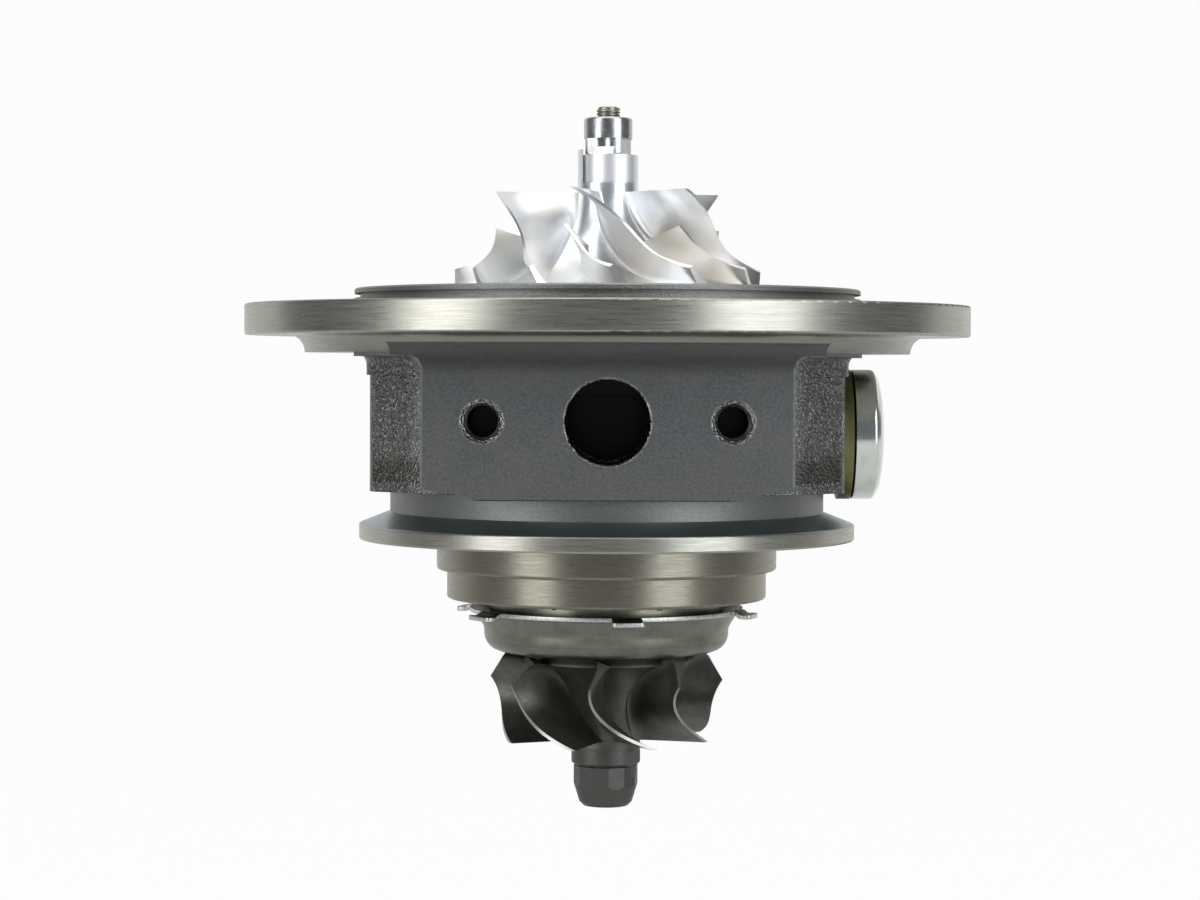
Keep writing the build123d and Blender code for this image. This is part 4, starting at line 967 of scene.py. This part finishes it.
def coolant_plug():
    foot = -WASHER - PLUG_SHANK_LENGTH
    outline = (
        (0, foot), (PLUG_SHANK - SHANK_CHAMFER, foot), (PLUG_SHANK, foot + SHANK_CHAMFER),
        (PLUG_SHANK, -WASHER), (PLUG_SHANK, 0), (PLUG_GROOVE, 0), (PLUG_GROOVE, PLUG_GROOVE_WIDTH),
        (PLUG_RADIUS, PLUG_GROOVE_WIDTH), (PLUG_RADIUS, HEAD_EDGE), HEAD_SHOULDER, HEAD_CROWN,
        (SOCKET_MOUTH, HEAD_LENGTH - SOCKET_DIP),
    )
    line = rounded(outline, (0, 0, 0, 0, 0, 0, 0.04, 0.7, 2.0, 0.3), 8)
    mesh = spun(line, steps=120)
    open_rim = [edge for edge in mesh.edges if edge.is_boundary]
    hexagon = bmesh.ops.create_circle(
        mesh, segments=6, radius=SOCKET_REACH * MM,
        matrix=Matrix.Translation((0, 0, (HEAD_LENGTH - SOCKET_DIP) * MM)))["verts"]
    hexagon_edges = [edge for edge in mesh.edges if all(point in hexagon for point in edge.verts)]
    bmesh.ops.subdivide_edges(mesh, edges=hexagon_edges, cuts=19)
    mouth = [edge for edge in mesh.edges if edge.is_wire]
    bmesh.ops.bridge_loops(mesh, edges=open_rim + mouth)
    pulled(mesh, mouth, (0, 0, -SOCKET_DEPTH * MM))
    bmesh.ops.holes_fill(mesh, edges=[edge for edge in mesh.edges if edge.is_boundary], sides=0)
    bmesh.ops.recalc_face_normals(mesh, faces=mesh.faces)
    bmesh.ops.rotate(mesh, verts=mesh.verts, cent=(0, 0, 0), matrix=Matrix.Rotation(pi / 2, 3, "Y"))
    bmesh.ops.translate(mesh, verts=mesh.verts, vec=(PLUG_SEAT * MM, 0, COOLANT_HEIGHT * MM))
    new_piece(mesh, "plated_coolant_plug", "plated_steel", "housing", "coolant_plug")


coolant_plug()

# %% [markdown]
# ## Threads in the holes
# The two holes beside the drain, the open coolant port and the oil inlet are tapped. The packed
# housing has plain walls there at the tapping size, so each thread is a ridge that stands on the
# wall and is sunk a little into it. It is wound upright and then turned to face out of its hole.

# %% Threads in the holes


def tapped(name, wall, crest, top, pitch, turns, turn, place):
    """A ridge on the wall of a hole; top is how far from the shaft axis its outer end lies."""
    mesh = thread_ridge(wall + 0.05, crest, top, pitch, turns)
    bmesh.ops.rotate(mesh, verts=mesh.verts, cent=(0, 0, 0), matrix=turn)
    bmesh.ops.translate(mesh, verts=mesh.verts, vec=Vector(place) * MM)
    new_piece(mesh, name, "thread_iron", "housing")


to_front = Matrix.Rotation(pi / 2, 3, "X")
to_back = Matrix.Rotation(-pi / 2, 3, "X")
to_left = Matrix.Rotation(-pi / 2, 3, "Y")
for side, side_name in ((-1, "left"), (1, "right")):
    tapped(
        "drain_bolt_thread_" + side_name, wall=BOLT_RADIUS, crest=2.24, top=33.1, pitch=1.0, turns=9.5,
        turn=to_front, place=(side * BOLT_PLACE, 0, PORT_HEIGHT))
tapped(
    "coolant_port_thread", wall=6.2, crest=5.75, top=33.6, pitch=1.5, turns=7.5,
    turn=to_left, place=(0, 0, COOLANT_HEIGHT))
tapped(
    "oil_inlet_thread", wall=5.1, crest=4.65, top=32.5, pitch=1.5, turns=7.0,
    turn=to_back, place=(0, 0, PORT_HEIGHT))

# %% [markdown]
# ## Cast fillets under the flange
# Iron doesn't fill a sharp inner corner, so the lugs run out into the flange in a small hollow
# curve. Its section is drawn once, pulled along the lug's side, turned round the corner and
# pulled on to the drain pad. Its back is sunk a little into the iron. The mirror operator makes
# the other side.

# %% Cast fillets
LUG_SURFACE = 35.1
LUG_CORNER_CENTRE = (31.6, -14.595)
LUG_CORNER_TURN = 50.2
LUG_FILLET = 1.75
LUG_FILLET_TOP = -7.22
LUG_FILLET_BACK = 8.0
LUG_FACET_LENGTH = 10.4
SUNK_SIDE = 0.4
SUNK_TOP = 0.3


def cast_fillets():
    side, top = LUG_SURFACE, LUG_FILLET_TOP
    corner = ((side, top - 3), (side, top), (side + 3, top))
    hollow = rounded(corner, (LUG_FILLET,), 8)[1:-1]
    sunk = [
        (side + LUG_FILLET, top + SUNK_TOP), (side - SUNK_SIDE, top + SUNK_TOP),
        (side - SUNK_SIDE, top - LUG_FILLET),
    ]
    mesh, section = section_loop(hollow + sunk, True)
    bmesh.ops.translate(mesh, verts=mesh.verts, vec=(0, LUG_FILLET_BACK * MM, 0))
    loop = [g for g in section if isinstance(g, bmesh.types.BMEdge)]
    loop = pulled(mesh, loop, (0, (LUG_CORNER_CENTRE[1] - LUG_FILLET_BACK) * MM, 0))
    turn = radians(LUG_CORNER_TURN)
    turned = bmesh.ops.spin(
        mesh, geom=ends_of(loop) + loop, cent=Vector((*LUG_CORNER_CENTRE, 0)) * MM, axis=(0, 0, 1),
        angle=-turn, steps=10)["geom_last"]
    loop = [g for g in turned if isinstance(g, bmesh.types.BMEdge)]
    pulled(mesh, loop, Vector((-sin(turn), -cos(turn), 0)) * LUG_FACET_LENGTH * MM)
    bmesh.ops.holes_fill(mesh, edges=[edge for edge in mesh.edges if edge.is_boundary], sides=0)
    whole = mesh.verts[:] + mesh.edges[:] + mesh.faces[:]
    bmesh.ops.mirror(mesh, geom=whole, matrix=Matrix.Identity(4), merge_dist=0, axis="X")
    bmesh.ops.recalc_face_normals(mesh, faces=mesh.faces)
    new_piece(mesh, "cast_fillets", "housing_iron", "housing")


cast_fillets()
